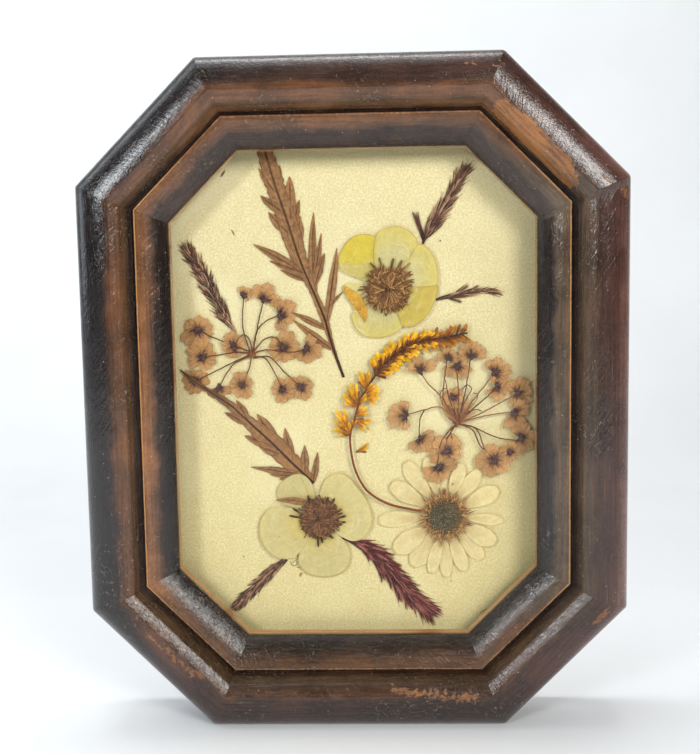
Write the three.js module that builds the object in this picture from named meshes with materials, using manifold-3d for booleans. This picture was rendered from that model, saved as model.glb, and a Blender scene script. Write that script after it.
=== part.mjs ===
// A pressed flower frame: a moulded octagonal wooden frame that stands on its bottom edge. Its rebate
// holds a pane of glass, a covered card with dried plants lying flat on it, and a backing board kept in
// by small steel points. Millimetres: X is to the right, Z is up and the glass faces -Y. The origin is
// under the middle of the bottom edge, half way through the frame's depth.
import * as THREE from "three";
import { mergeVertices } from "three/addons/utils/BufferGeometryUtils.js";
import Module from "manifold-3d";

const wasm = await Module();
wasm.setup();

// The octagon's outside.
const HEIGHT = 170;
const WIDTH = 137.5;
const DEPTH = 22;
const CORNER_CUT = 30.8; // along each edge, where a corner of the rectangle is cut off
const CORNER_RADIUS = 1.6;

// The moulding. An inset is measured from the outer edge towards the middle, and a depth from the
// crown of the outer bead towards the back.
const CROWN_INSET = 9.1;
const OUTER_BEAD_RISE = 5.5;
const OUTER_BEAD_END = { inset: 11.8, depth: 1.1 };
const GROOVE = { from: 13.3, to: 13.9, depth: 6.3 };
const ARRIS = { inset: 14.5, depth: 5.2 };
const INNER_BEAD_END = { inset: 18.2, depth: 5.9 };
const SIGHT = { inset: 22.1, depth: 9.8 };
const BACK_CHAMFER = 0.5;

// The rebate and what lies in it, from the front: glass, plants, card, board, points.
const REBATE = { inset: 17.1, depth: 13.6 };
const CLEARANCE = 0.15;
const EDGE_CLEARANCE = 0.5;
const GLASS_THICKNESS = 1.8;
const PLANT_SPACE = 2.25;
const CARD_THICKNESS = 1;
const BOARD_THICKNESS = 2;
const POINT = { length: 9, width: 5, thickness: 0.5, driven: 3 };

// Plants lie in layers on the card: each layer has its own level, so that what crosses never touches.
// Petals take layers 2 to 4.
const LAYERS = {
  leaves: 0,
  grasses: 0,
  umbelLeft: 2,
  umbelRight: 4,
  looseLobe: 4,
  disc: 4,
  goldenrod: 5,
  stamens: 5,
};
const LAYER_PITCH = 0.3;
const SHEET = 0.2; // a petal
const LEAF = 0.4;

const FACES = { glassFront: REBATE.depth + CLEARANCE };
FACES.glassBack = FACES.glassFront + GLASS_THICKNESS;
FACES.card = FACES.glassBack + PLANT_SPACE;
FACES.board = FACES.card + CARD_THICKNESS + CLEARANCE;
FACES.points = FACES.board + BOARD_THICKNESS + CLEARANCE;

const colour = (hex, roughness, metalness = 0) =>
  new THREE.MeshStandardMaterial({ color: hex, roughness, metalness, side: THREE.DoubleSide });

const stainedWood = colour(0x4a342b, 0.35);
const clearGlass = colour(0xe8f0ee, 0.05);
clearGlass.transparent = true;
clearGlass.opacity = 0.2;
const coveredCard = colour(0xe0d3a4, 0.9);
const brownBoard = colour(0x8a6a48, 0.85);
const steel = colour(0x9a9a98, 0.4, 1);
const dryLeaf = colour(0x8f6a48, 0.85);
const dryGrass = colour(0x6b4541, 0.85);
const purpleGrass = colour(0x6c3541, 0.85);
const tanFloret = colour(0xa9764a, 0.85);
const yellowFloret = colour(0xd9952a, 0.8);
const yellowPetal = colour(0xd8c96a, 0.7);
const palePetal = colour(0xd3ca90, 0.75);
const creamPetal = colour(0xe6d6a2, 0.8);
const stamenBrown = colour(0x74502f, 0.85);
const discGrey = colour(0x6b5d44, 0.9);

// ---------------------------------------------------------------- solids

function toSolid(geometry) {
  const bare = geometry.clone();
  bare.deleteAttribute("normal");
  bare.deleteAttribute("uv");
  const merged = mergeVertices(bare, 1e-4);
  const mesh = new wasm.Mesh({
    numProp: 3,
    vertProperties: new Float32Array(merged.attributes.position.array),
    triVerts: new Uint32Array(merged.index.array),
  });
  return new wasm.Manifold(mesh);
}

function toGeometry(solid) {
  const mesh = solid.getMesh();
  const geometry = new THREE.BufferGeometry();
  geometry.setAttribute("position", new THREE.BufferAttribute(mesh.vertProperties, 3));
  geometry.setIndex(new THREE.BufferAttribute(mesh.triVerts, 1));
  geometry.computeVertexNormals();
  return geometry;
}

function joined(geometries) {
  return toGeometry(geometries.map(toSolid).reduce((whole, next) => whole.add(next)));
}

function cut(geometry, tools) {
  return toGeometry(tools.map(toSolid).reduce((whole, next) => whole.subtract(next), toSolid(geometry)));
}

// A flat piece from an outline in X and Z: its back face is at y = back and it grows towards the front.
function flat(outline, thickness, back = 0) {
  const geometry = new THREE.ExtrudeGeometry(new THREE.Shape(outline), {
    depth: thickness,
    bevelEnabled: false,
  });
  geometry.rotateX(Math.PI / 2);
  geometry.translate(0, back, 0);
  return geometry;
}

const at = (x, z) => new THREE.Vector2(x, z);
const points = (pairs) => pairs.map(([x, z]) => at(x, z));
const polar = (radius, degrees) => {
  const angle = THREE.MathUtils.degToRad(degrees);
  return at(radius * Math.cos(angle), radius * Math.sin(angle));
};

// ---------------------------------------------------------------- the frame

const SIDES = 8;
const SIDE_TURN = (2 * Math.PI) / SIDES;

// How far the octagon's side lies from its middle. Side 0 is on the right and the rest follow
// anticlockwise, seen from the front.
function sideDistance(side, inset) {
  const halfWidth = WIDTH / 2;
  const halfHeight = HEIGHT / 2;
  if (side % 4 === 0) return halfWidth - inset;
  if (side % 4 === 2) return halfHeight - inset;
  return (halfWidth + halfHeight - CORNER_CUT) * Math.SQRT1_2 - inset;
}

// The octagon's outline at an inset, with arcs of the given radius at its corners.
function octagon(inset, radius = 0, arcSteps = 0) {
  const outline = [];
  for (let side = 0; side < SIDES; side += 1) {
    const here = side * SIDE_TURN;
    const next = here + SIDE_TURN;
    const near = sideDistance(side, inset) - radius;
    const far = sideDistance((side + 1) % SIDES, inset) - radius;
    const centreX = (near * Math.sin(next) - far * Math.sin(here)) / Math.sin(SIDE_TURN);
    const centreZ = (far * Math.cos(here) - near * Math.cos(next)) / Math.sin(SIDE_TURN);
    for (let step = 0; step <= arcSteps; step += 1) {
      const angle = here + (SIDE_TURN * step) / Math.max(arcSteps, 1);
      const x = centreX + radius * Math.cos(angle);
      const z = centreZ + radius * Math.sin(angle) + HEIGHT / 2;
      outline.push(at(x, z));
    }
  }
  return outline;
}

// Points on a quarter of an ellipse between two places in the moulding's section. The curve leaves
// the start along the inset direction when flatFirst is true, and along the depth direction when not.
function quarterArc(start, end, steps, flatFirst) {
  const curve = [];
  for (let step = 0; step <= steps; step += 1) {
    const angle = (step / steps) * (Math.PI / 2);
    const along = flatFirst ? Math.sin(angle) : 1 - Math.cos(angle);
    const down = flatFirst ? 1 - Math.cos(angle) : Math.sin(angle);
    curve.push({
      inset: start.inset + (end.inset - start.inset) * along,
      depth: start.depth + (end.depth - start.depth) * down,
    });
  }
  return curve;
}

function mouldingSection() {
  const crown = { inset: CROWN_INSET, depth: 0 };
  return [
    { inset: BACK_CHAMFER, depth: DEPTH },
    { inset: 0, depth: DEPTH - BACK_CHAMFER },
    ...quarterArc({ inset: 0, depth: OUTER_BEAD_RISE }, crown, 5, false),
    { inset: (CROWN_INSET + OUTER_BEAD_END.inset) / 2, depth: OUTER_BEAD_END.depth / 4 },
    OUTER_BEAD_END,
    { inset: GROOVE.from, depth: GROOVE.depth },
    { inset: GROOVE.to, depth: GROOVE.depth },
    ARRIS,
    ...quarterArc(INNER_BEAD_END, SIGHT, 3, true),
    { inset: SIGHT.inset, depth: REBATE.depth },
    REBATE,
    { inset: REBATE.inset, depth: DEPTH },
  ];
}

// The section carried round the octagon, as rings of vertices joined by strips.
function sweptMoulding() {
  const arcSteps = 1;
  const smallestRadius = 0.1;
  const rings = mouldingSection().map(({ inset, depth }) => {
    const radius = Math.max(CORNER_RADIUS - inset, smallestRadius);
    return octagon(inset, radius, arcSteps).map((p) => [p.x, depth - DEPTH / 2, p.y]);
  });
  const perRing = rings[0].length;
  const faces = [];
  rings.forEach((_, row) => {
    const nextRow = (row + 1) % rings.length;
    for (let i = 0; i < perRing; i += 1) {
      const j = (i + 1) % perRing;
      const [a, b] = [row * perRing + i, row * perRing + j];
      const [c, d] = [nextRow * perRing + j, nextRow * perRing + i];
      faces.push(a, b, c, a, c, d);
    }
  });
  const geometry = new THREE.BufferGeometry();
  geometry.setAttribute("position", new THREE.Float32BufferAttribute(rings.flat(2), 3));
  geometry.setIndex(faces);
  geometry.computeVertexNormals();
  return geometry;
}

// Turns and moves a piece that is drawn at the rebate's wall, pointing outwards along +X, to a side.
function toSide(object, side) {
  const angle = side * SIDE_TURN;
  const distance = sideDistance(side, REBATE.inset);
  object.rotateY(-angle);
  object.translate(distance * Math.cos(angle), 0, distance * Math.sin(angle) + HEIGHT / 2);
  return object;
}

function pointSlot(side) {
  const slack = 0.1;
  const slot = new THREE.BoxGeometry(
    2 * (POINT.driven + slack),
    POINT.thickness + 2 * slack,
    POINT.width + 2 * slack,
  );
  slot.translate(0, FACES.points - DEPTH / 2 + POINT.thickness / 2, 0);
  return toSide(slot, side);
}

function steelPoint(side) {
  const shoulder = POINT.driven / 3;
  const outline = points([
    [POINT.driven - POINT.length, -POINT.width / 2],
    [shoulder, -POINT.width / 2],
    [POINT.driven, 0],
    [shoulder, POINT.width / 2],
    [POINT.driven - POINT.length, POINT.width / 2],
  ]);
  const back = FACES.points - DEPTH / 2 + POINT.thickness;
  return toSide(flat(outline, POINT.thickness, back), side);
}

function pane(inset, front, thickness) {
  return flat(octagon(inset), thickness, front + thickness - DEPTH / 2);
}

// ---------------------------------------------------------------- outlines of plant parts

// A ribbon along a line of points, with a half width at each.
function ribbon(line, halfWidths) {
  const left = [];
  const right = [];
  line.forEach((p, i) => {
    const before = line[Math.max(i - 1, 0)];
    const after = line[Math.min(i + 1, line.length - 1)];
    const along = after.clone().sub(before).normalize();
    const across = at(-along.y, along.x).multiplyScalar(halfWidths[i]);
    left.push(p.clone().add(across));
    right.unshift(p.clone().sub(across));
  });
  return [...right, ...left].reverse();
}

// A smooth line through a few points.
function smooth(pairs, steps) {
  return new THREE.SplineCurve(points(pairs)).getPoints(steps);
}

// Values spread evenly over a line's points, through the given ones.
function spread(values, steps) {
  return smooth(values.map((value, i) => [i, value]), steps).map((p) => p.y);
}

// How wide a pointed blade is along its length: [share of length, share of width].
const LEAF_LOBE = [[0.35, 1], [0.75, 0.68]];
const FLORET_BLADE = [[0.6, 1]];
const ROOT = 0.4; // how far a blade's base runs back into what it grows from

// How far a floret reaches at a lobe, at a notch and behind a folded fan, as shares of its radius.
const LOBE_REACH = 1.04;
const NOTCH_REACH = 0.78;
const FAN_BACK_REACH = 0.2;

// A grass head's edge, as shares of its half width, and how far a spikelet's tip leans forward.
const SPIKELET = { tip: 1.35, notch: 0.85, leastHalfWidth: 0.15, lean: 1.1 };

// How far out the notches between tufts of stamens lie, as a share of the mass's radius.
const TUFT_ROOT = 0.74;

// A blade pointed at its base and its tip, as one lobe of a leaf or one floret of a spray.
function blade([fromX, fromZ, toX, toZ, width], form) {
  const from = at(fromX, fromZ);
  const to = at(toX, toZ);
  const along = to.clone().sub(from).normalize();
  const across = at(-along.y, along.x).multiplyScalar(width / 2);
  const edge = (side) =>
    form.map(([share, wide]) => from.clone().lerp(to, share).addScaledVector(across, side * wide));
  const root = from.clone().addScaledVector(along, -ROOT);
  return [root, ...edge(-1), to, ...edge(1).reverse()];
}

const lobe = (numbers) => blade(numbers, LEAF_LOBE);
const floretBlade = (numbers) => blade(numbers, FLORET_BLADE);

// A petal along +X from its claw to its tip, widest at belly, a share of its length.
function petal({ start, reach, width, belly, claw = 0.8, steps = 4 }) {
  const shift = Math.log(0.5) / Math.log(belly);
  const side = [];
  for (let step = 1; step < steps; step += 1) {
    const share = (1 - Math.cos((Math.PI * step) / steps)) / 2;
    const full = share ** shift;
    const half = (width / 2) * Math.sqrt(4 * full * (1 - full));
    side.push(at(start + (reach - start) * share, Math.max(half, claw / 2)));
  }
  const mirrored = side.map((p) => at(p.x, -p.y));
  return [at(start, -claw / 2), ...mirrored, at(reach, 0), ...side.reverse(), at(start, claw / 2)];
}

// A floret of blunt lobes about its middle. It faces turn, and is whole or folded to a fan of the
// given angle.
function floretOutline([x, z, radius, turn, angle]) {
  const middle = at(x, z);
  const isWhole = angle === 360;
  const lobes = isWhole ? 5 : 4;
  const outline = [];
  for (let i = 0; i < 2 * lobes + (isWhole ? 0 : 1); i += 1) {
    const reach = radius * (i % 2 === 1 ? LOBE_REACH : NOTCH_REACH);
    outline.push(polar(reach, turn - angle / 2 + (angle * i) / (2 * lobes)).add(middle));
  }
  if (!isWhole) outline.push(polar(radius * FAN_BACK_REACH, turn + 180).add(middle));
  return outline;
}

// A grass head: a spindle along a line, with the tips of its spikelets standing out on both sides.
function grassOutline(pairs, halfWidths, teeth) {
  const steps = teeth * 2;
  const line = smooth(pairs, steps);
  const widths = spread(halfWidths, steps);
  const left = [];
  const right = [];
  line.forEach((p, i) => {
    const before = line[Math.max(i - 1, 0)];
    const after = line[Math.min(i + 1, steps)];
    const along = after.clone().sub(before).normalize();
    const across = at(-along.y, along.x);
    const isTip = i % 2 === 1;
    const half = Math.max(widths[i], SPIKELET.leastHalfWidth) * (isTip ? SPIKELET.tip : SPIKELET.notch);
    const lean = isTip ? along.clone().multiplyScalar(SPIKELET.lean) : at(0, 0);
    left.push(p.clone().addScaledVector(across, half).add(lean));
    right.unshift(p.clone().addScaledVector(across, -half).add(lean));
  });
  return [...right, ...left].reverse();
}

// An even-sided disc about the origin.
function disc(radius, sides) {
  return Array.from({ length: sides }, (_, i) => polar(radius, (360 * i) / sides));
}

// A mass of stamens: a disc whose edge is broken into pointed tufts, some longer than others.
function stamenOutline({ radius, tufts, uneven }) {
  const outline = [];
  for (let i = 0; i < tufts; i += 1) {
    const middle = (360 * i) / tufts;
    const reach = radius * (1 + uneven * Math.sin(2.4 * i) * Math.cos(0.7 * i));
    outline.push(polar(radius * TUFT_ROOT, middle - 180 / tufts));
    outline.push(polar(reach, middle));
  }
  return outline;
}

// ---------------------------------------------------------------- the arrangement

// Lobes are [from x, from z, to x, to z, width], with x from the frame's middle and z from its base.
const UPPER_LEAF = {
  rib: [
    [-23, 150.5], [-20.2, 140.5], [-17.2, 131], [-14, 120.5], [-11, 113], [-8, 105.5], [-5.8, 97.5],
    [-3, 89.3],
  ],
  blade: [2.1, 2.3, 2.5, 2.1, 0.9, 1.0, 0.5, 0.25],
  lobes: [
    [-20.5, 138.5, -24.2, 144.2, 2],
    [-18.5, 133, -23.9, 137.2, 2.4],
    [-17, 127.5, -21.9, 132.8, 2.6],
    [-19.5, 138, -18.7, 145, 1.8],
    [-16.2, 131, -16.2, 142, 3],
    [-15.5, 129, -13.7, 135.9, 2],
    [-14.3, 123.5, -13.7, 131.9, 2.8],
    [-13.2, 117, -26.1, 124.6, 2.5],
    [-13.6, 117, -21.9, 120.2, 2],
    [-12.6, 115, -19.2, 117.8, 1.8],
    [-10.2, 111, -10.1, 132.7, 2.5],
    [-10.3, 115, -8.2, 127.2, 1.6],
    [-10, 114, -7.4, 122, 2],
    [-7.2, 104, -4.2, 123.3, 2.1],
    [-7, 107.5, -2.7, 112, 1],
    [-7, 102, -16.6, 106.8, 1.8],
    [-6, 96.8, -16, 104.6, 2.2],
  ],
};
const LOWER_LEAF = {
  rib: [
    [-46.4, 92], [-42.6, 88.8], [-38, 85.6], [-33, 82], [-28, 77.2], [-22, 71.5], [-16.5, 65.8], [-11.5, 61],
  ],
  blade: [0.3, 0.7, 0.9, 1.3, 1.8, 2.7, 2.4, 0.9],
  lobes: [
    [-28.6, 78, -31.7, 83.6, 2],
    [-21.5, 71.5, -26.3, 79.8, 3.4],
    [-16.8, 66.5, -18.9, 76, 2.6],
    [-13.8, 62.5, -13.7, 71.3, 2.2],
    [-11.8, 61, -10.3, 69.3, 1.8],
    [-29.5, 77.2, -34.9, 80.3, 2],
    [-23, 71.5, -29.8, 74, 2.4],
    [-20.5, 69, -26, 71, 2.4],
    [-15.5, 63.6, -28.3, 65.5, 1.9],
    [-14.5, 62.8, -23.4, 63.4, 1.5],
    [-14.5, 62, -20.8, 62.2, 1.4],
  ],
};
const LOOSE_LOBE = [-12.6, 55.8, -21.8, 56.7, 1.9];

// Grass heads run from their cut base to their tip.
const GRASS = [
  {
    line: [[-31.4, 101.7], [-34, 105.5], [-37, 111.5], [-40, 117.5], [-42.2, 121.5], [-43.9, 124.5]],
    halfWidths: [0.4, 1.5, 2.1, 1.7, 1.3, 0.5],
    teeth: 11,
    stain: dryGrass,
  },
  {
    line: [[18.2, 123.9], [19.8, 127.3], [22.3, 131], [25, 135.4], [28, 140.6], [30.6, 144.4]],
    halfWidths: [0.4, 1.2, 1.4, 1.2, 1.1, 0.4],
    teeth: 10,
    spurs: [[18.5, 125, 16.1, 132.7, 1.8], [19.4, 125.6, 24.3, 129.9, 1.5]],
    stain: dryGrass,
  },
  {
    line: [[21.5, 109.4], [24.5, 110.1], [28, 110.6], [32, 111.2], [35.5, 111.2], [39, 110.2]],
    halfWidths: [0.35, 0.8, 0.8, 0.6, 0.8, 0.25],
    teeth: 8,
    spurs: [[26, 110.6, 30.3, 113.4, 0.9], [24.5, 109.7, 28.7, 108.5, 0.8], [29.5, 111, 33, 113.1, 0.7]],
    stain: dryGrass,
  },
  {
    line: [[-19.3, 40.3], [-22.5, 37.8], [-25.5, 35], [-28.8, 31.8], [-31.6, 29], [-34.2, 26.3]],
    halfWidths: [0.8, 1.5, 1.6, 1.4, 1.2, 0.6],
    teeth: 10,
    stain: dryGrass,
  },
  {
    line: [[-4.2, 46.1], [0.5, 44.2], [5, 41], [9, 36], [13.5, 30.8], [17.5, 27], [21.2, 23.9]],
    halfWidths: [0.3, 1.1, 2.3, 2.6, 2, 1.4, 0.5],
    teeth: 12,
    spurs: [[6, 39.8, 12, 37.3, 1.8], [9, 36, 14, 33.6, 1.4]],
    stain: purpleGrass,
  },
];

// A ray runs from near the hub to a floret: [middle x, z, radius, direction it faces, angle of its fan].
const LEFT_UMBEL = {
  hub: [-27.2, 95.8],
  stems: [
    { line: [[-27.5, 96.5], [-33.5, 98.8], [-41.2, 102.1]], floret: [-41.3, 102.4, 4.5, 90, 360] },
    { line: [[-27.5, 96.2], [-32, 96.3], [-39.8, 95.2]], floret: [-40.2, 95.3, 4.2, 60, 360] },
    { line: [[-26.9, 96.8], [-27.8, 99.9], [-29.6, 100.9], [-31.9, 98]], floret: [-32, 98, 3.7, 20, 360] },
    { line: [[-27.5, 95.6], [-31.5, 94], [-42.2, 89]], floret: [-42.3, 88.8, 3.7, 70, 360] },
    { line: [[-27.8, 95.2], [-31.5, 93.6], [-33.8, 91], [-36.2, 87]], floret: [-36.2, 87.2, 3.7, -85, 170] },
    { line: [[-27.2, 95.5], [-28, 91.8], [-30, 87.8]], floret: [-30, 87.6, 3.4, 40, 360] },
    { line: [[-27.5, 96], [-29.3, 103], [-28.9, 111]], floret: [-28.9, 111.4, 2.4, 40, 200] },
    { line: [[-26.8, 96.5], [-25, 105], [-23.7, 109.6]], floret: [-23.6, 109.8, 4.6, 70, 180] },
    { line: [[-26.8, 96.5], [-25.6, 101.8], [-23, 104.6], [-19.6, 106]], floret: [-19.5, 106, 4.6, 10, 230] },
    { line: [[-26.7, 96.3], [-23.8, 99.6], [-21, 100.2], [-19, 98]], floret: [-18.8, 97.6, 4.3, 10, 360] },
    { line: [[-26.7, 95.9], [-23.5, 96.9], [-16.5, 96.2], [-13, 97]], floret: [-12.9, 97.2, 4.1, -40, 250] },
    { line: [[-26.8, 95], [-24, 94.9], [-22, 92.3], [-19.4, 86.8]], floret: [-19.3, 86.4, 3.3, 30, 360] },
    { line: [[-26.8, 94.8], [-22.5, 95], [-18.5, 90.8], [-14.4, 87]], floret: [-14.2, 86.9, 3.3, 10, 360] },
  ],
};
const RIGHT_UMBEL = {
  hub: [26.8, 77],
  stems: [
    { line: [[26.9, 77.5], [22.5, 84], [17.3, 90.4]], floret: [17.2, 90.6, 4.2, 95, 170] },
    { line: [[26.8, 77.5], [23.4, 82.8], [23.2, 86], [24.2, 93.6]], floret: [24.4, 94, 3.3, 75, 230] },
    { line: [[26.9, 77.5], [26.6, 91.6]], floret: [26.7, 92, 3.8, -60, 250] },
    { line: [[27, 77.5], [30.4, 94]], floret: [30.6, 94.4, 4.1, 90, 210] },
    { line: [[26.9, 77.5], [25.9, 83.6]], floret: [25.8, 83.8, 2.8, 70, 360] },
    { line: [[27.3, 77.4], [31.5, 83.5], [36.4, 89.6]], floret: [36.7, 90, 4.5, 40, 230] },
    { line: [[27.4, 77.3], [31.5, 81], [36.9, 85.9]], floret: [37.2, 86.2, 3.5, -20, 300] },
    { line: [[27.5, 77.1], [32.5, 79.2], [42.4, 84.4]], floret: [42.6, 84.6, 4.1, 10, 300] },
    { line: [[27.5, 77], [34, 78.7], [41.3, 79.7]], floret: [41.6, 79.5, 4.2, -20, 220] },
    { line: [[27.3, 76.6], [30.5, 76], [37, 73], [43.2, 72]], floret: [43.4, 72.8, 3.8, 10, 280] },
    { line: [[27.2, 76.5], [30.8, 75], [33.2, 70.2], [37, 68.7], [40, 69]], floret: [40.4, 69, 3, 0, 300] },
    { line: [[27.2, 76.5], [31.8, 75.2], [34, 69.8], [36.3, 67.4]], floret: [36.6, 66.9, 4.6, -80, 360] },
    { line: [[26.6, 76.5], [24.2, 73], [23.7, 69.8]], floret: [24, 69.4, 4.5, 0, 360] },
    { line: [[26.3, 76.5], [22.6, 72], [21.4, 65.6]], floret: [21.6, 65.2, 4.5, -75, 220] },
    { line: [[26.5, 77.3], [22.5, 81.1], [18, 80.5], [13.4, 79.2]], floret: [13.3, 79.2, 4.6, 180, 220] },
    { line: [[18.2, 80.6], [17, 78], [16.7, 73.4]], floret: [17, 73, 3.9, -55, 200] },
  ],
};

// Goldenrod: its stalk climbs from the daisy and arches to the right. Florets are lobes.
const GOLDENROD = {
  stalk: [
    [17.2, 53.3], [13.5, 54.1], [9, 55.2], [5, 57.2], [2, 60], [-0.4, 65], [-1.4, 70.5], [-1.4, 74.5],
    [0, 79], [1, 82.5], [2.8, 85.8], [5, 89.2], [7, 92], [9.6, 94.1], [13.4, 96.9], [18, 98.7], [23, 99.4],
    [29.6, 100.6],
  ],
  florets: [
    [-1.5, 74, -5.7, 75.5, 1.4], [-1.7, 74.8, -5.8, 77.8, 1.3], [-2, 75.6, -5.3, 79.2, 1.2],
    [-1.8, 75.8, -4.5, 81.5, 1.4], [-1.4, 74.3, -2.2, 77.5, 1.5], [-0.8, 75.8, 0, 78.5, 0.9],
    [-0.2, 78.3, 4.3, 76.9, 1.1], [-0.2, 78, 3.9, 75.5, 1.1], [0.1, 79, 3, 81.5, 1.7],
    [0.5, 81.6, -2.9, 83.3, 1.3], [0.6, 82, -3.3, 84.8, 1.2], [0.6, 82.2, -3.3, 86.4, 1.2],
    [0.7, 82.4, -1.3, 88, 1.5], [0.9, 82, 2.9, 85.1, 1.6], [2.2, 84.2, 6.3, 83.2, 1.3],
    [2.2, 84.4, 6.8, 84.6, 1.3], [2.4, 84.8, 6.7, 86, 1.2], [2.8, 85.6, 5.6, 87.7, 1.1],
    [2.8, 86, 1.3, 91.2, 1.3], [3, 86.4, 2.7, 91.3, 1.2],
  ],
};
const GOLDENROD_SPRAY = {
  pairs: 10,
  from: 0.66, // share of the stalk's length
  to: 0.985,
  firstLength: 3.9,
  lastLength: 1.9,
  firstWidth: 1.5,
  lastWidth: 0.9,
  lean: 0.75, // radians off the stalk
};
const FALLEN_FLORET = [-0.1, 69.2, 3.8, 70.9, 1];

// Each petal is turned about its flower's middle, and lies in one of the layers. A fold is the part of
// its edge that is doubled over, measured from the flower's middle.
const BUTTERCUP = {
  centre: [8.6, 112.6],
  petals: [
    { turn: 144, start: 1.4, reach: 15.3, width: 11.4, belly: 0.62, layer: 2 },
    { turn: 82, start: 1.4, reach: 16.2, width: 12.6, belly: 0.64, layer: 3 },
    { turn: 20, start: 0.6, reach: 14.2, width: 15.4, belly: 0.58, layer: 4 },
    { turn: 311, start: 1.4, reach: 13.2, width: 12.4, belly: 0.6, layer: 3 },
    {
      turn: 251, start: 1.4, reach: 13.3, width: 13.4, belly: 0.6, layer: 2,
      fold: [[-11.4, 1.1], [-8.6, -0.9], [-5.3, -3.9], [-5, -6.8], [-5.9, -9], [-7.7, -6.4], [-9.6, -3]],
    },
  ],
  stamens: { middle: [8.6, 112.6], radius: 7.6, core: 3.2, tufts: 22, uneven: 0.2 },
};
const PALE_FLOWER = {
  centre: [-10.3, 51.8],
  petals: [
    { turn: 131, start: 0.8, reach: 14.6, width: 10.2, belly: 0.65, layer: 2 },
    { turn: 23, start: 0.8, reach: 16.2, width: 17.4, belly: 0.53, layer: 3 },
    { turn: 205.6, start: 0.8, reach: 17.4, width: 14.4, belly: 0.59, layer: 3 },
    { turn: 278, start: 0.8, reach: 16.5, width: 14.2, belly: 0.59, layer: 2 },
  ],
  stamens: { middle: [-10.1, 51.6], radius: 6.6, core: 3.4, tufts: 20, uneven: 0.22 },
};
const DAISY = {
  centre: [23.2, 51.7],
  discRadius: 5.5,
  discHeight: 0.85,
  petalStart: 4.4,
  petalClaw: 1,
  petalBelly: 0.62,
  petals: [
    // [direction, reach, width]
    [355, 16.1, 3.6], [27, 16.4, 5.6], [52, 15.9, 4.8], [71, 15.4, 4.2], [89, 14.5, 3.8], [106, 16.9, 4.2],
    [125, 18.2, 5.4], [148, 17, 5.6], [183, 17.9, 5.3], [215, 16.5, 6.6], [238, 16.3, 6.4], [257, 16.1, 4],
    [272, 17, 4], [290, 16.1, 4.6], [311, 15.8, 5.2], [332, 15.7, 6],
  ],
};

const STALK_HALF_WIDTHS = [0.3, 0.2];
const RAY_HALF_WIDTH = 0.2;
const HUB_RADIUS = 1.1;

function leafSolid({ rib, blade: halfWidths, lobes }) {
  const steps = 10;
  const middle = ribbon(smooth(rib, steps), spread(halfWidths, steps));
  return joined([flat(middle, LEAF), ...lobes.map((numbers) => flat(lobe(numbers), LEAF))]);
}

function grassSolid({ line, halfWidths, teeth, spurs = [] }) {
  const head = flat(grassOutline(line, halfWidths, teeth), LEAF);
  return joined([head, ...spurs.map((spur) => flat(lobe(spur), LEAF))]);
}

function umbelSolid({ hub: [x, z], stems }) {
  const pieces = [flat(disc(HUB_RADIUS, 6).map((p) => p.add(at(x, z))), SHEET)];
  stems.forEach(({ line, floret }) => {
    const halfWidths = line.map(() => RAY_HALF_WIDTH);
    pieces.push(flat(ribbon(points(line), halfWidths), SHEET));
    pieces.push(flat(floretOutline(floret), SHEET));
  });
  return joined(pieces);
}

function goldenrodSolid() {
  const steps = 18;
  const stalk = new THREE.SplineCurve(points(GOLDENROD.stalk));
  const pieces = [flat(ribbon(stalk.getPoints(steps), spread(STALK_HALF_WIDTHS, steps)), LEAF)];
  GOLDENROD.florets.forEach((floret) => pieces.push(flat(floretBlade(floret), LEAF)));
  const spray = GOLDENROD_SPRAY;
  for (let i = 0; i < spray.pairs; i += 1) {
    const share = i / (spray.pairs - 1);
    const t = THREE.MathUtils.lerp(spray.from, spray.to, share);
    const length = THREE.MathUtils.lerp(spray.firstLength, spray.lastLength, share);
    const width = THREE.MathUtils.lerp(spray.firstWidth, spray.lastWidth, share);
    const base = stalk.getPoint(t);
    [1, -1].forEach((side) => {
      const heading = stalk.getTangent(t).angle() + side * spray.lean;
      const tip = base.clone().add(at(Math.cos(heading), Math.sin(heading)).multiplyScalar(length));
      pieces.push(flat(floretBlade([base.x, base.y, tip.x, tip.y, width]), LEAF));
    });
  }
  return joined(pieces);
}

function petalSolid(shape) {
  const angle = THREE.MathUtils.degToRad(shape.turn);
  const outline = petal(shape).map((p) => p.rotateAround(at(0, 0), angle));
  if (!shape.fold) return flat(outline, SHEET);
  return joined([flat(outline, SHEET), flat(points(shape.fold), 2 * SHEET)]);
}

function stamenSolid(stamens) {
  return joined([flat(stamenOutline(stamens), SHEET), flat(disc(stamens.core, 8), LEAF)]);
}

// The disc of a daisy, low and domed. It is turned so that its top faces the front.
function daisyDiscSolid(radius, height) {
  const profile = points([
    [0, 0],
    [radius, 0],
    [radius, height * 0.35],
    [radius * 0.8, height * 0.8],
    [radius * 0.55, height],
    [0, height],
  ]);
  return new THREE.LatheGeometry(profile, 20).rotateX(Math.PI);
}

// ---------------------------------------------------------------- assembly

const whole = new THREE.Group();
const plants = new THREE.Group(); // its y = 0 is the card's front face
plants.position.y = FACES.card - DEPTH / 2;
whole.add(plants);

function add(parent, name, geometry, material) {
  const mesh = new THREE.Mesh(geometry, material.clone());
  mesh.name = name;
  parent.add(mesh);
  return mesh;
}

// The level of a layer's back face, just clear of the card.
const layerLevel = (layer) => -0.05 - LAYER_PITCH * layer;

function lay(name, geometry, material, layer, [x, z] = [0, 0]) {
  const mesh = add(plants, name, geometry, material);
  mesh.position.set(x, layerLevel(layer), z);
  return mesh;
}

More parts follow.
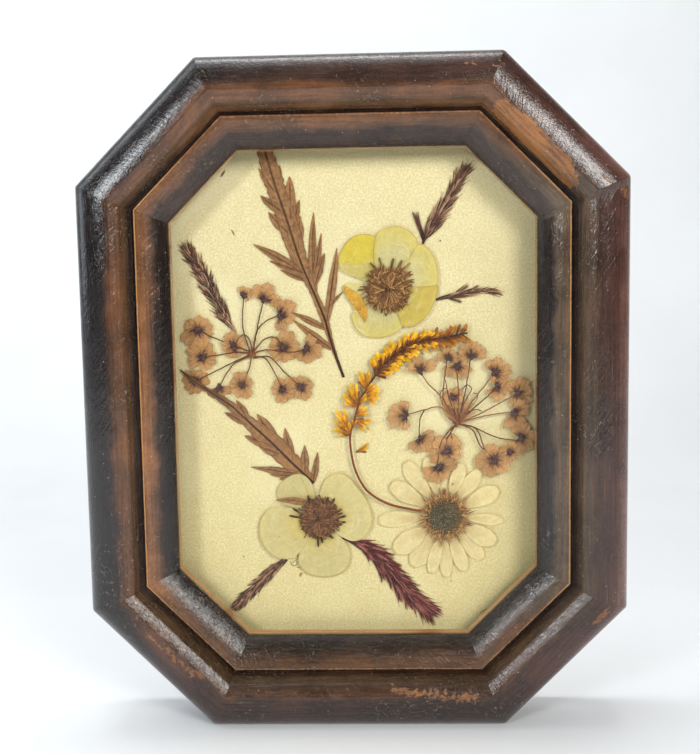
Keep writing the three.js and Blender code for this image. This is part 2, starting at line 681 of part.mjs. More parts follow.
function addFrame() {
  const slots = Array.from({ length: SIDES }, (_, side) => pointSlot(side));
  add(whole, "frame", cut(sweptMoulding(), slots), stainedWood);
  const inset = REBATE.inset + EDGE_CLEARANCE;
  add(whole, "glass", pane(inset, FACES.glassFront, GLASS_THICKNESS), clearGlass);
  add(whole, "card", pane(inset, FACES.card, CARD_THICKNESS), coveredCard);
  add(whole, "backing_board", pane(inset, FACES.board, BOARD_THICKNESS), brownBoard);
  for (let side = 0; side < SIDES; side += 1) add(whole, `point_${side + 1}`, steelPoint(side), steel);
}

function addLeavesAndGrasses() {
  lay("mugwort_leaf_upper", leafSolid(UPPER_LEAF), dryLeaf, LAYERS.leaves);
  lay("mugwort_leaf_lower", leafSolid(LOWER_LEAF), dryLeaf, LAYERS.leaves);
  lay("leaf_lobe", flat(lobe(LOOSE_LOBE), SHEET), dryLeaf, LAYERS.looseLobe);
  GRASS.forEach((head, i) => lay(`grass_spike_${i + 1}`, grassSolid(head), head.stain, LAYERS.grasses));
}

function addUmbels() {
  lay("umbel_left", umbelSolid(LEFT_UMBEL), tanFloret, LAYERS.umbelLeft);
  lay("umbel_right", umbelSolid(RIGHT_UMBEL), tanFloret, LAYERS.umbelRight);
}

function addGoldenrod() {
  lay("goldenrod", goldenrodSolid(), yellowFloret, LAYERS.goldenrod);
  lay("goldenrod_floret", flat(floretBlade(FALLEN_FLORET), LEAF), yellowFloret, LAYERS.leaves);
}

function addFlower(flower, prefix, petalStain) {
  flower.petals.forEach((shape, i) => {
    const blade = petalSolid({ ...shape, steps: 7 });
    lay(`${prefix}_petal_${i + 1}`, blade, petalStain, shape.layer, flower.centre);
  });
  lay(`${prefix}_stamens`, stamenSolid(flower.stamens), stamenBrown, LAYERS.stamens, flower.stamens.middle);
}

function addDaisy() {
  const { centre, petals, petalStart, petalClaw, petalBelly, discRadius, discHeight } = DAISY;
  petals.forEach(([turn, reach, width], i) => {
    const shape = { turn, start: petalStart, reach, width, belly: petalBelly, claw: petalClaw };
    const name = `daisy_petal_${String(i + 1).padStart(2, "0")}`;
    lay(name, petalSolid(shape), creamPetal, 2 + (i % 2), centre);
  });
  lay("daisy_disc", daisyDiscSolid(discRadius, discHeight), discGrey, LAYERS.disc, centre);
}

addFrame();
addLeavesAndGrasses();
addUmbels();
addGoldenrod();
addFlower(BUTTERCUP, "buttercup", yellowPetal);
addFlower(PALE_FLOWER, "pale", palePetal);
addDaisy();

export default whole;
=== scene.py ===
import math
import random

import bmesh
import bpy
import numpy as np
from mathutils import Matrix, Vector


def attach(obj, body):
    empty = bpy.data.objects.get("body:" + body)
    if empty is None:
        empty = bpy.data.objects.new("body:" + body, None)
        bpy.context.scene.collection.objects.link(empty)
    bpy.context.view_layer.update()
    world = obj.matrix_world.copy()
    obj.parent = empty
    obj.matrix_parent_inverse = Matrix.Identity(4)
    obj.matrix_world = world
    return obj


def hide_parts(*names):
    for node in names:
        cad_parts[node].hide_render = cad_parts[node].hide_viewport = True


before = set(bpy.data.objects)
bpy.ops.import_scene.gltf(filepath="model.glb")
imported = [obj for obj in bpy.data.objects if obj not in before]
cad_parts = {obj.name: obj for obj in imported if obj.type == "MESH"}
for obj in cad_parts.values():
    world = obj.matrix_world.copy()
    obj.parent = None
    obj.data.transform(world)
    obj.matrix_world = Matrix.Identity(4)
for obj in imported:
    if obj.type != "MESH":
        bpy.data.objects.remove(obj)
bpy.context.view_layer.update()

# Lengths are millimetres in the part's frame until a mesh is built: x to the right, z up, and for the
# plants a height off the card's front face, towards the glass.
MM = 0.001
# Where the card's front face lies in y.
CARD_Y = 6.8
HEIGHT, WIDTH, DEPTH, CORNER_CUT = 170.0, 137.5, 22.0, 30.8
LAYER_START, LAYER_PITCH = 0.15, 0.28
# How much of a surface's relief its varnish follows.
COAT_RELIEF = 0.45


def level(layer):
    return LAYER_START + LAYER_PITCH * layer


def srgb(red, green, blue):
    """A linear colour from 0-255 display values."""
    out = []
    for value in (red, green, blue):
        c = value / 255
        out.append(c / 12.92 if c <= 0.04045 else ((c + 0.055) / 1.055) ** 2.4)
    return (*out, 1.0)


# ------------------------------------------------------------------ shader graphs


class Shader:
    """A material's node tree, with short calls for the nodes that the looks use."""

    def __init__(self, name, roughness=0.6, **sockets):
        self.material = bpy.data.materials.new(name)
        self.material.use_nodes = True
        self.tree = self.material.node_tree
        self.bsdf = self.tree.nodes["Principled BSDF"]
        self.bsdf.inputs["Roughness"].default_value = roughness
        for socket, value in sockets.items():
            self.bsdf.inputs[socket.replace("_", " ")].default_value = value

    def feed(self, socket, value):
        if isinstance(value, bpy.types.NodeSocket):
            self.tree.links.new(value, socket)
        else:
            socket.default_value = value

    def node(self, kind, inputs, **settings):
        made = self.tree.nodes.new("ShaderNode" + kind)
        for key, value in settings.items():
            setattr(made, key, value)
        for key, value in inputs.items():
            self.feed(made.inputs[key], value)
        return made

    def place(self):
        """Object coordinates in millimetres."""
        return self.scaled(self.node("TexCoord", {}).outputs["Object"], 1000, 1000, 1000)

    def scaled(self, vector, x, y, z):
        return self.node("VectorMath", {0: vector, 1: (x, y, z)}, operation="MULTIPLY").outputs[0]

    def attribute(self, name, output="Vector"):
        return self.node("Attribute", {}, attribute_name=name).outputs[output]

    def split(self, vector):
        return self.node("SeparateXYZ", {0: vector}).outputs

    def math(self, operation, a, b=0.0, c=0.0):
        return self.node("Math", {0: a, 1: b, 2: c}, operation=operation).outputs[0]

    def product(self, *factors):
        result = factors[0]
        for factor in factors[1:]:
            result = self.math("MULTIPLY", result, factor)
        return result

    def stretched(self, values, scales):
        """A vector whose axes are three values, each scaled."""
        axes = [self.math("MULTIPLY", value, scale) for value, scale in zip(values, scales)]
        return self.node("CombineXYZ", dict(enumerate(axes))).outputs[0]

    def noise(self, vector, scale, detail=3.0, roughness=0.55, distortion=0.0):
        inputs = {"Vector": vector, "Scale": scale, "Detail": detail, "Roughness": roughness}
        inputs["Distortion"] = distortion
        return self.node("TexNoise", inputs).outputs["Fac"]

    def cells(self, vector, scale):
        """The distance to the nearest of many scattered points."""
        return self.node("TexVoronoi", {"Vector": vector, "Scale": scale}).outputs["Distance"]

    def band(self, value, low, high, out_low=0.0, out_high=1.0):
        """A value remapped from low..high to out_low..out_high, with smooth ends."""
        inputs = {"Value": value, 1: low, 2: high, 3: out_low, 4: out_high}
        return self.node("MapRange", inputs, interpolation_type="SMOOTHSTEP").outputs[0]

    def ramp(self, value, stops):
        made = self.node("ValToRGB", {"Fac": value})
        elements = made.color_ramp.elements
        while len(elements) < len(stops):
            elements.new(0.5)
        for element, (position, colour) in zip(elements, stops):
            element.position = position
            element.color = colour
        return made.outputs["Color"]

    def mix(self, share, a, b, blend="MIX"):
        made = self.node("Mix", {}, data_type="RGBA", blend_type=blend)
        self.feed(made.inputs["Factor"], share)
        self.feed(made.inputs[6], a)
        self.feed(made.inputs[7], b)
        return made.outputs[2]

    def shaded(self, colour, value):
        """A colour multiplied by a grey value."""
        grey = self.node("CombineXYZ", {0: value, 1: value, 2: value}).outputs[0]
        return self.mix(1.0, colour, grey, "MULTIPLY")

    def colour(self, value):
        self.feed(self.bsdf.inputs["Base Color"], value)

    def bump(self, height, distance, strength=1.0):
        inputs = {"Height": height, "Distance": distance * MM, "Strength": strength}
        self.feed(self.bsdf.inputs["Normal"], self.node("Bump", inputs).outputs[0])
        inputs["Strength"] = strength * COAT_RELIEF
        self.feed(self.bsdf.inputs["Coat Normal"], self.node("Bump", inputs).outputs[0])


# ------------------------------------------------------------------ meshes


def wobble(x, z, seed, size=1.0):
    """A smooth random height about 0, from -1 to 1, for points in x and z."""
    a, b, c = seed * 1.7 + 0.3, seed * 2.9 + 1.1, seed * 0.7 + 2.3
    total = np.sin(x / size * 1.1 + z / size * 0.7 + a)
    total = total + np.sin(x / size * -0.6 + z / size * 1.7 + b)
    return (total + np.sin(x / size * 2.3 - z / size * 1.9 + c)) / 3


def crinkle(x, z, seed, size=1.0):
    """Thin raised lines, 0 to 1, that run irregularly over x and z."""
    bend = wobble(x, z, seed + 9, size * 2.2)
    lines = np.sin((x * math.cos(seed) + z * math.sin(seed)) / size + 2.6 * bend)
    return np.exp(-((lines / 0.16) ** 2)) * np.clip(wobble(x, z, seed + 4, size * 1.6) + 0.25, 0, 1)


def curve(pairs, steps):
    """Points evenly spaced in parameter on a smooth line through the given ones."""
    p = np.array(pairs, float)
    last = len(p) - 1
    t = np.linspace(0, last, steps + 1)
    i = np.minimum(t.astype(int), last - 1)
    w = (t - i).reshape(-1, *[1] * (p.ndim - 1))
    a, b, c, d = p[np.maximum(i - 1, 0)], p[i], p[i + 1], p[np.minimum(i + 2, last)]
    cubic = (3 * b - a - 3 * c + d) * w**3 + (2 * a - 5 * b + 4 * c - d) * w**2
    return 0.5 * (cubic + (c - a) * w + 2 * b)


def heading(degrees):
    return np.array([math.cos(math.radians(degrees)), math.sin(math.radians(degrees))])


def raised(flat, height):
    """Flat (x, z) points put at a height, or at a height each."""
    return np.column_stack([flat[:, 0], np.broadcast_to(height, len(flat)), flat[:, 1]])


def gap_to(x, z, x1, z1, x2, z2):
    """How far points are from the straight stretch between two others."""
    way = np.array([x2 - x1, z2 - z1])
    t = np.clip(((x - x1) * way[0] + (z - z1) * way[1]) / (way @ way), 0, 1)
    return np.hypot(x - x1 - way[0] * t, z - z1 - way[1] * t)


class Piece:
    """Gathers one piece's mesh. A point is (x, height off the card, z); form is (along, across, tone)."""

    def __init__(self):
        self.points, self.faces, self.slots, self.form = [], [], [], []
        self.count = 0

    def add(self, points, faces, form, slot):
        self.points.append(points)
        self.form.append(form)
        self.faces.extend((np.asarray(faces) + self.count).tolist())
        self.slots.extend([slot] * len(faces))
        self.count += len(points)

    def sheet(self, grid, form, thickness, slot=0):
        """A thin closed plate over a grid of rows and columns of points."""
        rows, cols = grid.shape[:2]
        lift = np.array([0, thickness / 2, 0])
        index = np.arange(rows * cols).reshape(rows, cols)
        quads = np.stack([index[:-1, :-1], index[:-1, 1:], index[1:, 1:], index[1:, :-1]], -1)
        quads = quads.reshape(-1, 4)
        size = rows * cols
        rim = [*index[0], *index[1:, -1], *index[-1, -2::-1], *index[-2:0:-1, 0]]
        sides = [[a, a + size, b + size, b] for a, b in zip(rim, rim[1:] + rim[:1])]
        points = np.concatenate([(grid + lift).reshape(-1, 3), (grid - lift).reshape(-1, 3)])
        faces = np.concatenate([quads, quads[:, ::-1] + size, sides])
        flat_form = form.reshape(-1, 3)
        self.add(points, faces, np.concatenate([flat_form, flat_form]), slot)

    def tube(self, line, radii, sides=5, flat=1.0, tone=0.5, slot=0):
        """A closed tube along (x, height, z) points, flattened across its height."""
        line = np.asarray(line, float)
        radii = np.broadcast_to(np.asarray(radii, float), len(line))
        along = np.gradient(line, axis=0)
        along /= np.linalg.norm(along, axis=1)[:, None] + 1e-9
        side = np.cross(along, [0.0, 1.0, 0.0])
        side /= np.linalg.norm(side, axis=1)[:, None] + 1e-9
        up = np.cross(side, along)
        angles = np.arange(sides) * 2 * math.pi / sides
        cos, sin = np.cos(angles)[None, :, None], np.sin(angles)[None, :, None]
        ring = cos * side[:, None] + sin * up[:, None] * flat
        points = (line[:, None] + ring * radii[:, None, None]).reshape(-1, 3)
        rows = len(line)
        index = np.arange(rows * sides).reshape(rows, sides)
        after = np.roll(index, -1, axis=1)
        faces = np.stack([index[:-1], after[:-1], after[1:], index[1:]], -1).reshape(-1, 4).tolist()
        self.points.append(points)
        share = np.repeat(np.linspace(0, 1, rows), sides)
        around = np.tile(np.cos(angles), rows)
        self.form.append(np.column_stack([share, around, np.full(rows * sides, tone)]))
        faces += [index[0][::-1].tolist(), index[-1].tolist()]
        self.faces.extend([[i + self.count for i in face] for face in faces])
        self.slots.extend([slot] * len(faces))
        self.count += rows * sides

    def blob(self, middle, radii, rng, tone=0.5, slot=0, sides=7):
        """A small lumpy closed grain."""
        x, h, z = middle
        steps = 5
        angle = np.linspace(0.12, math.pi - 0.12, steps)
        turn = rng.uniform(0, math.pi)
        cos, sin = math.cos(turn), math.sin(turn)
        line = np.array(
            [[x - cos * radii[0] * math.cos(a), h, z - sin * radii[0] * math.cos(a)] for a in angle]
        )
        width = radii[2] * np.sin(angle) * np.array([rng.uniform(0.85, 1.15) for _ in range(steps)])
        self.tube(line, width, sides, radii[1] / radii[2], tone, slot)

    def build(self, name, materials, nodes=(), crease=55):
        points = np.concatenate(self.points)
        place = np.column_stack([points[:, 0], CARD_Y - points[:, 1], points[:, 2]]) * MM
        mesh = bpy.data.meshes.new(name)
        mesh.from_pydata(place.tolist(), [], self.faces)
        mesh.attributes.new("form", "FLOAT_VECTOR", "POINT").data.foreach_set(
            "vector", np.concatenate(self.form).astype(np.float32).ravel()
        )
        mesh.polygons.foreach_set("material_index", self.slots)
        return finish_piece(mesh, materials, nodes, crease)


def finish_piece(mesh, materials, nodes, crease):
    work = bmesh.new()
    work.from_mesh(mesh)
    bmesh.ops.recalc_face_normals(work, faces=work.faces)
    work.to_mesh(mesh)
    work.free()
    for material in materials:
        mesh.materials.append(material)
    mesh.shade_smooth()
    mesh.set_sharp_from_angle(angle=math.radians(crease))
    piece = bpy.data.objects.new(mesh.name, mesh)
    bpy.context.scene.collection.objects.link(piece)
    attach(piece, "root")
    if nodes:
        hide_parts(*nodes)
    return piece


# ------------------------------------------------------------------ the moulded frame

# The moulding's section from the back's outer edge round to the rebate: (inset, depth).
OUTER_RISE, CROWN = 5.5, 8.8
ARRIS_INSET, SIGHT_INSET = 14.5, 22.1


def outer_arc(steps):
    """The outer half of the bead: a quarter of an ellipse up to its crown."""
    angles = [step / steps * math.pi / 2 for step in range(1, steps + 1)]
    return [(CROWN * (1 - math.cos(a)), OUTER_RISE * (1 - math.sin(a))) for a in angles]


def section():
    line = [(9.0, DEPTH), (0.5, DEPTH), (0.15, DEPTH - 0.15), (0, DEPTH - 0.5), (0, 14.0), (0, OUTER_RISE)]
    line += outer_arc(16)
    line += [(9.0, 0.02), (9.2, 0.07), (9.4, 0.14), (9.6, 0.23), (9.9, 0.37), (10.3, 0.575), (10.7, 0.795)]
    line += [(11.1, 1.03), (11.45, 1.25), (11.75, 1.46), (11.9, 1.62), (12.05, 1.9), (12.35, 2.6)]
    line += [(12.75, 3.65), (13.05, 4.65), (13.25, 5.5), (13.4, 6.05)]
    line += [(13.6, 6.3), (13.8, 6.25), (13.98, 5.9), (14.15, 5.4), (14.35, 5.2), (14.6, 5.2), (14.9, 5.26)]
    line += [(15.5, 5.36), (16.2, 5.53), (17.0, 5.8), (17.6, 6.05), (18.2, 6.36), (18.8, 6.72), (19.4, 7.12)]
    line += [(20.0, 7.57), (20.6, 8.07), (21.1, 8.53), (21.5, 8.93), (21.8, 9.25), (21.95, 9.45)]
    line += [(22.05, 9.62), (22.1, 9.85), (22.1, 11.0), (22.1, 12.3), (22.05, 13.45), (21.9, 13.6)]
    line += [(19.5, 13.6), (17.1, 13.6), (17.1, 18.0), (17.1, DEPTH - 0.2), (16.9, DEPTH), (9.0, DEPTH)]
    return line[:-1]


def side_distance(side, inset):
    if side % 4 == 0:
        return WIDTH / 2 - inset
    if side % 4 == 2:
        return HEIGHT / 2 - inset
    return (WIDTH / 2 + HEIGHT / 2 - CORNER_CUT) * math.sqrt(0.5) - inset


def octagon(inset, radius, arc_steps, step_length):
    """Points round the octagon at an inset, the same number at every inset: (x, z, sides travelled)."""
    out = []
    turn = math.pi / 4
    centres = []
    for side in range(8):
        here, after = side * turn, (side + 1) * turn
        near, far = side_distance(side, inset) - radius, side_distance((side + 1) % 8, inset) - radius
        x = (near * math.sin(after) - far * math.sin(here)) / math.sin(turn)
        z = (far * math.cos(here) - near * math.cos(after)) / math.sin(turn)
        centres.append((x, z + HEIGHT / 2))
    travelled = 0.0
    for side in range(8):
        x, z = centres[side]
        for step in range(arc_steps + 1):
            angle = side * turn + turn * step / arc_steps
            out.append((x + radius * math.cos(angle), z + radius * math.sin(angle), travelled))
        next_x, next_z = centres[(side + 1) % 8]
        normal = (side + 1) * turn
        start = (x + radius * math.cos(normal), z + radius * math.sin(normal))
        end = (next_x + radius * math.cos(normal), next_z + radius * math.sin(normal))
        full = 2 * side_distance(side, 0) * math.tan(turn / 2)
        cuts = max(int(full / step_length), 8)
        for cut in range(1, cuts):
            share = cut / cuts
            x_here = start[0] + (end[0] - start[0]) * share
            z_here = start[1] + (end[1] - start[1]) * share
            out.append((x_here, z_here, travelled + share))
        travelled += 1
    return out


# Places where the varnish is rubbed through on the outer bead: x1, z1, x2, z2, half width, strength.
SCUFFS = [
    (36.8, 155.4, 53.0, 138.4, 2.3, 1.2),
    (42.0, 151.6, 51.4, 141.4, 2.2, 0.9),
    (-53.5, 25.5, -40.5, 14.5, 1.6, 0.62),
    (9, 10.6, 30, 8.6, 1.5, 0.72),
    (65.8, 138.2, 67.5, 134, 1.0, 0.35),
    (-66.5, 137.4, -67.4, 133, 1.0, 0.3),
    (60, 28.5, 66.6, 35, 1.2, 0.45),
    (55, 23, 63, 31, 0.8, 0.35),
    (28, 166.4, 37, 165.4, 1.5, 0.5),
    (60.5, 139, 66.6, 134.5, 1.2, 0.4),
    (-37, 2, -30, 2.2, 1.0, 0.3),
]


def wear_at(x, z, inset, depth):
    wear = np.exp(-(((inset - ARRIS_INSET) / 0.24) ** 2)) * 0.72
    wear = wear + np.exp(-(((inset - 11.85) / 0.12) ** 2)) * (depth < 2) * 0.3
    for x1, z1, x2, z2, width, strength in SCUFFS:
        gap = gap_to(x, z, x1, z1, x2, z2)
        wear = wear + strength * np.exp(-((gap / width) ** 2)) * (depth < 4.5)
    return wear


def make_frame(material):
    rings, form, wear = [], [], []
    for inset, depth in section():
        radius = max(1.6 - inset, 0.35)
        ring = np.array(octagon(inset, radius, 6, 1.25))
        x, z = ring[:, 0], ring[:, 1]
        dent = 0.05 * wobble(x, z, inset * 0.05, 4.0) + 0.03 * wobble(x, z, inset * 0.11 + 4, 1.4)
        shown = 1.0 if depth < 13.6 and inset < 22 else 0.0
        place = np.column_stack([x, np.full(len(x), depth - DEPTH / 2) + dent * shown, z])
        if depth < 0.8:
            place[:, 1] = np.maximum(place[:, 1], -DEPTH / 2)
        rings.append(place)
        form.append(np.column_stack([np.full(len(x), inset), ring[:, 2] * 60, np.full(len(x), depth)]))
        wear.append(wear_at(x, z, inset, depth))
    around = len(rings[0])
    rows = len(rings)
    index = np.arange(rows * around).reshape(rows, around)
    after, below = np.roll(index, -1, axis=1), np.roll(index, -1, axis=0)
    diagonal = np.roll(after, -1, axis=0)
    faces = np.stack([index, after, diagonal, below], -1).reshape(-1, 4)
    mesh = bpy.data.meshes.new("frame_wood")
    mesh.from_pydata((np.concatenate(rings) * MM).tolist(), [], faces.tolist())
    mesh.attributes.new("rail", "FLOAT_VECTOR", "POINT").data.foreach_set(
        "vector", np.concatenate(form).astype(np.float32).ravel()
    )
    mesh.attributes.new("wear", "FLOAT", "POINT").data.foreach_set(
        "value", np.concatenate(wear).astype(np.float32)
    )
    return finish_piece(mesh, [material], ["frame"], 40)


# The stain from the outer edge, 0, to the sight edge, 1: all round, and on the right rail. The darker stops
# at 0.625 and 0.64, in the groove, are part stain and part painted shade.
STAIN_AND_SHADE = [
    (0.0, srgb(36, 31, 31)),
    (0.1, srgb(32, 27, 27)),
    (0.28, srgb(27, 22, 22)),
    (0.35, srgb(46, 31, 25)),
    (0.42, srgb(92, 59, 38)),
    (0.5, srgb(102, 66, 40)),
    (0.54, srgb(88, 58, 38)),
    (0.6, srgb(70, 48, 35)),
    (0.625, srgb(46, 33, 27)),
    (0.64, srgb(44, 32, 26)),
    (0.66, srgb(130, 84, 50)),
    (0.7, srgb(132, 87, 52)),
    (0.79, srgb(106, 71, 47)),
    (0.86, srgb(42, 31, 25)),
    (0.93, srgb(25, 19, 16)),
    (0.99, srgb(34, 24, 20)),
]
# The right rail's ramp: its pale reddish outer flank, from 0 to 0.1, is a painted reflection of warm
# surroundings over the stain.
RIGHT_STAIN_AND_SHEEN = [
    (0.0, srgb(124, 88, 78)),
    (0.1, srgb(100, 69, 60)),
    (0.18, srgb(68, 43, 35)),
    (0.36, srgb(58, 38, 30)),
    (0.42, srgb(74, 56, 43)),
    (0.54, srgb(80, 62, 46)),
    (0.575, srgb(56, 44, 39)),
    (0.64, srgb(52, 40, 35)),
    (0.66, srgb(98, 78, 58)),
    (0.8, srgb(88, 72, 56)),
    (0.86, srgb(42, 33, 29)),
    (0.99, srgb(38, 29, 25)),
]


def stained_zones(s, spot, inset, depth, sides):
    """The colour of each member of the moulding, with its redder, browner and rubbed areas. Parts are
    painted: shade in the groove, on the side rails' groove walls and on the right half, light on the upper
    groove walls and the top rail's inner slope, and a reflection on the right and lower flanks.
    """
    loose = s.math("MAXIMUM", s.band(inset, 11.4, 10.4), s.band(inset, 15.4, 16.2))
    stain_edge = s.math("MULTIPLY_ADD", s.noise(spot, 0.12, 4.0, 0.55), 5.0, -2.5)
    shifted = s.math("ADD", inset, s.product(loose, stain_edge))
    across, _, up = s.split(spot)
    shifted = s.math("ADD", shifted, s.product(s.band(up, 150, 160, 0.0, 1.0), s.band(inset, 11, 9)))
    zones = s.ramp(s.math("DIVIDE", shifted, SIGHT_INSET), STAIN_AND_SHADE)
    # Redder outer half of the bead on the right and along the bottom: part stain, part painted reflection of
    # warm surroundings.
    low = s.math("MAXIMUM", s.band(across, -50, 15), s.band(up, 26, 8))
    red_stain_and_sheen = s.product(s.band(shifted, 9.5, 6.5), low)
    red = s.mix(s.band(across, 25, 62), srgb(66, 44, 35), srgb(84, 52, 43))
    zones = s.mix(s.product(red_stain_and_sheen, 0.9), zones, red)
    # Darker olive on the right half's inner member and on the bottom rail: part stain colour, part painted
    # shade.
    olive = s.product(s.band(inset, 14.6, 15.4), s.band(across, 10, 50))
    olive = s.math("MAXIMUM", olive, s.product(s.band(inset, 9, 11), s.band(up, 45, 15)))
    zones = s.mix(s.product(olive, 0.6), zones, srgb(62, 47, 33))
    right_zones = s.ramp(s.math("DIVIDE", shifted, SIGHT_INSET), RIGHT_STAIN_AND_SHEEN)
    right_rail = s.product(s.band(across, 38, 50), s.band(up, 14, 34))
    zones = s.mix(s.product(right_rail, s.band(up, 160, 136, 0.0, 0.92)), zones, right_zones)
    zones = s.mix(s.band(depth, 20.5, 21.6), zones, srgb(64, 46, 34))
    # Painted light: the top rail's inner slope, which faces down into shade, is given a lighter brown.
    top_slope = s.product(s.band(inset, 17.5, 19.5), s.band(up, 120, 142, 0.0, 0.75))
    zones = s.mix(top_slope, zones, srgb(66, 46, 37))
    in_groove = s.product(s.band(inset, 11.7, 12.7), s.band(inset, 14.2, 14.0))
    # Painted light on the groove's wall, which faces down on the upper rails: a lit brown, stronger higher up
    # and off the side rails.
    wall = s.product(in_groove, s.band(depth, 5.9, 5.2))
    wall = s.product(wall, s.product(s.band(sides, 1, 0), s.band(up, 20, 130, 0.12, 0.8)))
    zones = s.mix(s.product(wall, 0.8), zones, srgb(126, 90, 62))
    # Painted shade in the groove on the side rails: its wall is given a dark grey-brown.
    side_wall_painted_shade = s.product(s.band(inset, 12.5, 12.75), s.band(inset, 14.2, 14.0))
    zones = s.mix(s.product(s.product(side_wall_painted_shade, sides), 0.9), zones, srgb(62, 52, 48))
    copper = s.product(s.band(across, -61, -54), s.band(across, -38, -46))
    copper = s.product(copper, s.product(s.band(up, 9, 16), s.band(up, 33, 26)))
    copper = s.product(copper, s.product(s.band(inset, 3.5, 6), s.band(inset, 9.2, 7.8)))
    zones = s.mix(s.product(copper, s.band(depth, 14, 9, 0.0, 0.6)), zones, srgb(96, 60, 44))
    return zones


def wood_material():
    s = Shader("stained_wood", 0.25, IOR=1.5, Specular_IOR_Level=0.4, Coat_Weight=0.35, Coat_Roughness=0.13)
    rail = s.attribute("rail")
    inset, along, depth = s.split(rail)
    spot = s.place()
    across, _, up = s.split(spot)
    sides = s.product(s.band(s.math("ABSOLUTE", across), 36, 52), s.band(up, 18, 42))
    zones = stained_zones(s, spot, inset, depth, sides)
    streak = s.noise(s.scaled(rail, 1.6, 0.09, 1.2), 1.0, 5.0, 0.65)
    cloud = s.noise(spot, 0.075, 4.0, 0.6)
    speck = s.noise(spot, 1.7, 4.0, 0.7)
    pit = s.noise(spot, 0.9, 3.0, 0.6)
    shade = s.product(s.band(streak, 0.34, 0.66, 1.22, 0.72), s.band(cloud, 0.36, 0.64, 1.18, 0.66))
    shade = s.product(shade, s.band(up, -5, 45, 0.68, 1.0))
    # Lighter towards the left and darker towards the right: painted light and shade.
    shade = s.product(shade, s.band(across, -50, 60, 1.08, 0.88))
    top_inner = s.math("MAXIMUM", s.band(inset, 14.2, 14.6, 1.0, 0.0), s.band(up, 134, 150, 1.0, 0.7))
    shade = s.product(shade, top_inner)
    base = s.shaded(zones, s.product(shade, s.band(speck, 0.35, 0.65, 1.1, 0.85)))
    lip = s.product(s.band(inset, 21.9, 22.05), s.band(depth, 9.6, 11.6))
    base = s.mix(s.product(lip, s.band(streak, 0.3, 0.6, 0.95, 0.6)), base, srgb(214, 152, 100))
    worn = s.math("ADD", s.attribute("wear", "Fac"), s.math("MULTIPLY_ADD", pit, 1.5, -0.75))
    worn = s.math("ADD", worn, s.math("MULTIPLY_ADD", streak, 1.5, -0.75))
    bare_mix = s.math("MULTIPLY_ADD", speck, 0.35, s.math("MULTIPLY_ADD", cloud, 0.6, streak))
    bare = s.mix(s.band(bare_mix, 0.8, 1.14), srgb(156, 101, 52), srgb(100, 63, 35))
    base = s.mix(s.band(worn, 0.5, 0.62, 0.0, 0.92), base, bare)
    edge_line = s.product(s.band(inset, 14.18, 14.3), s.band(inset, 14.7, 14.5))
    edge_line = s.product(edge_line, s.band(sides, 0, 1, 0.2, 0.9))
    base = s.mix(s.product(edge_line, s.band(worn, 0.0, 0.4, 0.2, 0.95)), base, srgb(190, 134, 76))
    scratch_line = s.noise(s.scaled(rail, 9.0, 0.16, 9.0), 1.0, 2.0, 0.5, 0.3)
    scratch = s.band(scratch_line, 0.685, 0.72, 0.0, 0.45)
    base = s.mix(scratch, base, srgb(140, 118, 102))
    swirl = s.math("ABSOLUTE", s.math("SUBTRACT", s.noise(spot, 0.55, 2.0, 0.45, 0.6), 0.5))
    swirl = s.product(s.band(swirl, 0.012, 0.004), s.band(cloud, 0.52, 0.6, 0.0, 0.4))
    base = s.mix(s.product(swirl, s.band(pit, 0.45, 0.55)), base, srgb(178, 158, 134))
    dust = s.product(s.band(s.cells(spot, 0.5), 0.075, 0.045, 0.0, 0.75), s.band(pit, 0.47, 0.55))
    base = s.mix(dust, base, srgb(196, 188, 180))
    s.colour(base)
    rough = s.band(speck, 0.35, 0.7, 0.13, 0.25)
    rough = s.math("MULTIPLY_ADD", s.band(worn, 0.5, 0.64), 0.3, rough)
    rough = s.math("MULTIPLY_ADD", s.band(up, 158, 167), 0.1, rough)
    s.feed(s.bsdf.inputs["Roughness"], s.math("MULTIPLY_ADD", dust, 0.4, rough))
    brushed = s.noise(s.scaled(rail, 1.5, 0.5, 1.5), 1.0, 2.0, 0.6, 1.8)
    relief = s.math("MULTIPLY_ADD", brushed, 1.1, s.product(pit, 0.45))
    relief = s.math("MULTIPLY_ADD", speck, 0.22, relief)
    strokes = {0: s.math("ADD", s.product(inset, 0.8), s.product(along, 0.9))}
    strokes[1] = s.product(s.math("SUBTRACT", inset, along), 0.12)
    hatch = s.noise(s.node("CombineXYZ", strokes).outputs[0], 1.0, 2.0, 0.5, 0.7)
    relief = s.math("MULTIPLY_ADD", hatch, 1.1, relief)
    relief = s.product(relief, s.band(up, 95, 130, 1.0, 0.62))
    s.bump(s.math("MULTIPLY_ADD", s.band(worn, 0.5, 0.64), -0.5, relief), 0.15, 0.75)
    return s.material


# ------------------------------------------------------------------ the glass, card, board and points


def glass_material():
    s = Shader("clear_glass", 0.03)
    clear = s.node("BsdfTransparent", {"Color": (0.985, 0.992, 0.985, 1)})
    shine = s.node("BsdfGlossy", {"Roughness": 0.03, "Color": (1, 1, 1, 1)})
    share = s.product(s.node("Fresnel", {"IOR": 1.45}).outputs[0], 0.16)
    mixed = s.node("MixShader", {0: share, 1: clear.outputs[0], 2: shine.outputs[0]})
    s.tree.links.new(mixed.outputs[0], s.tree.nodes["Material Output"].inputs["Surface"])
    return s.material


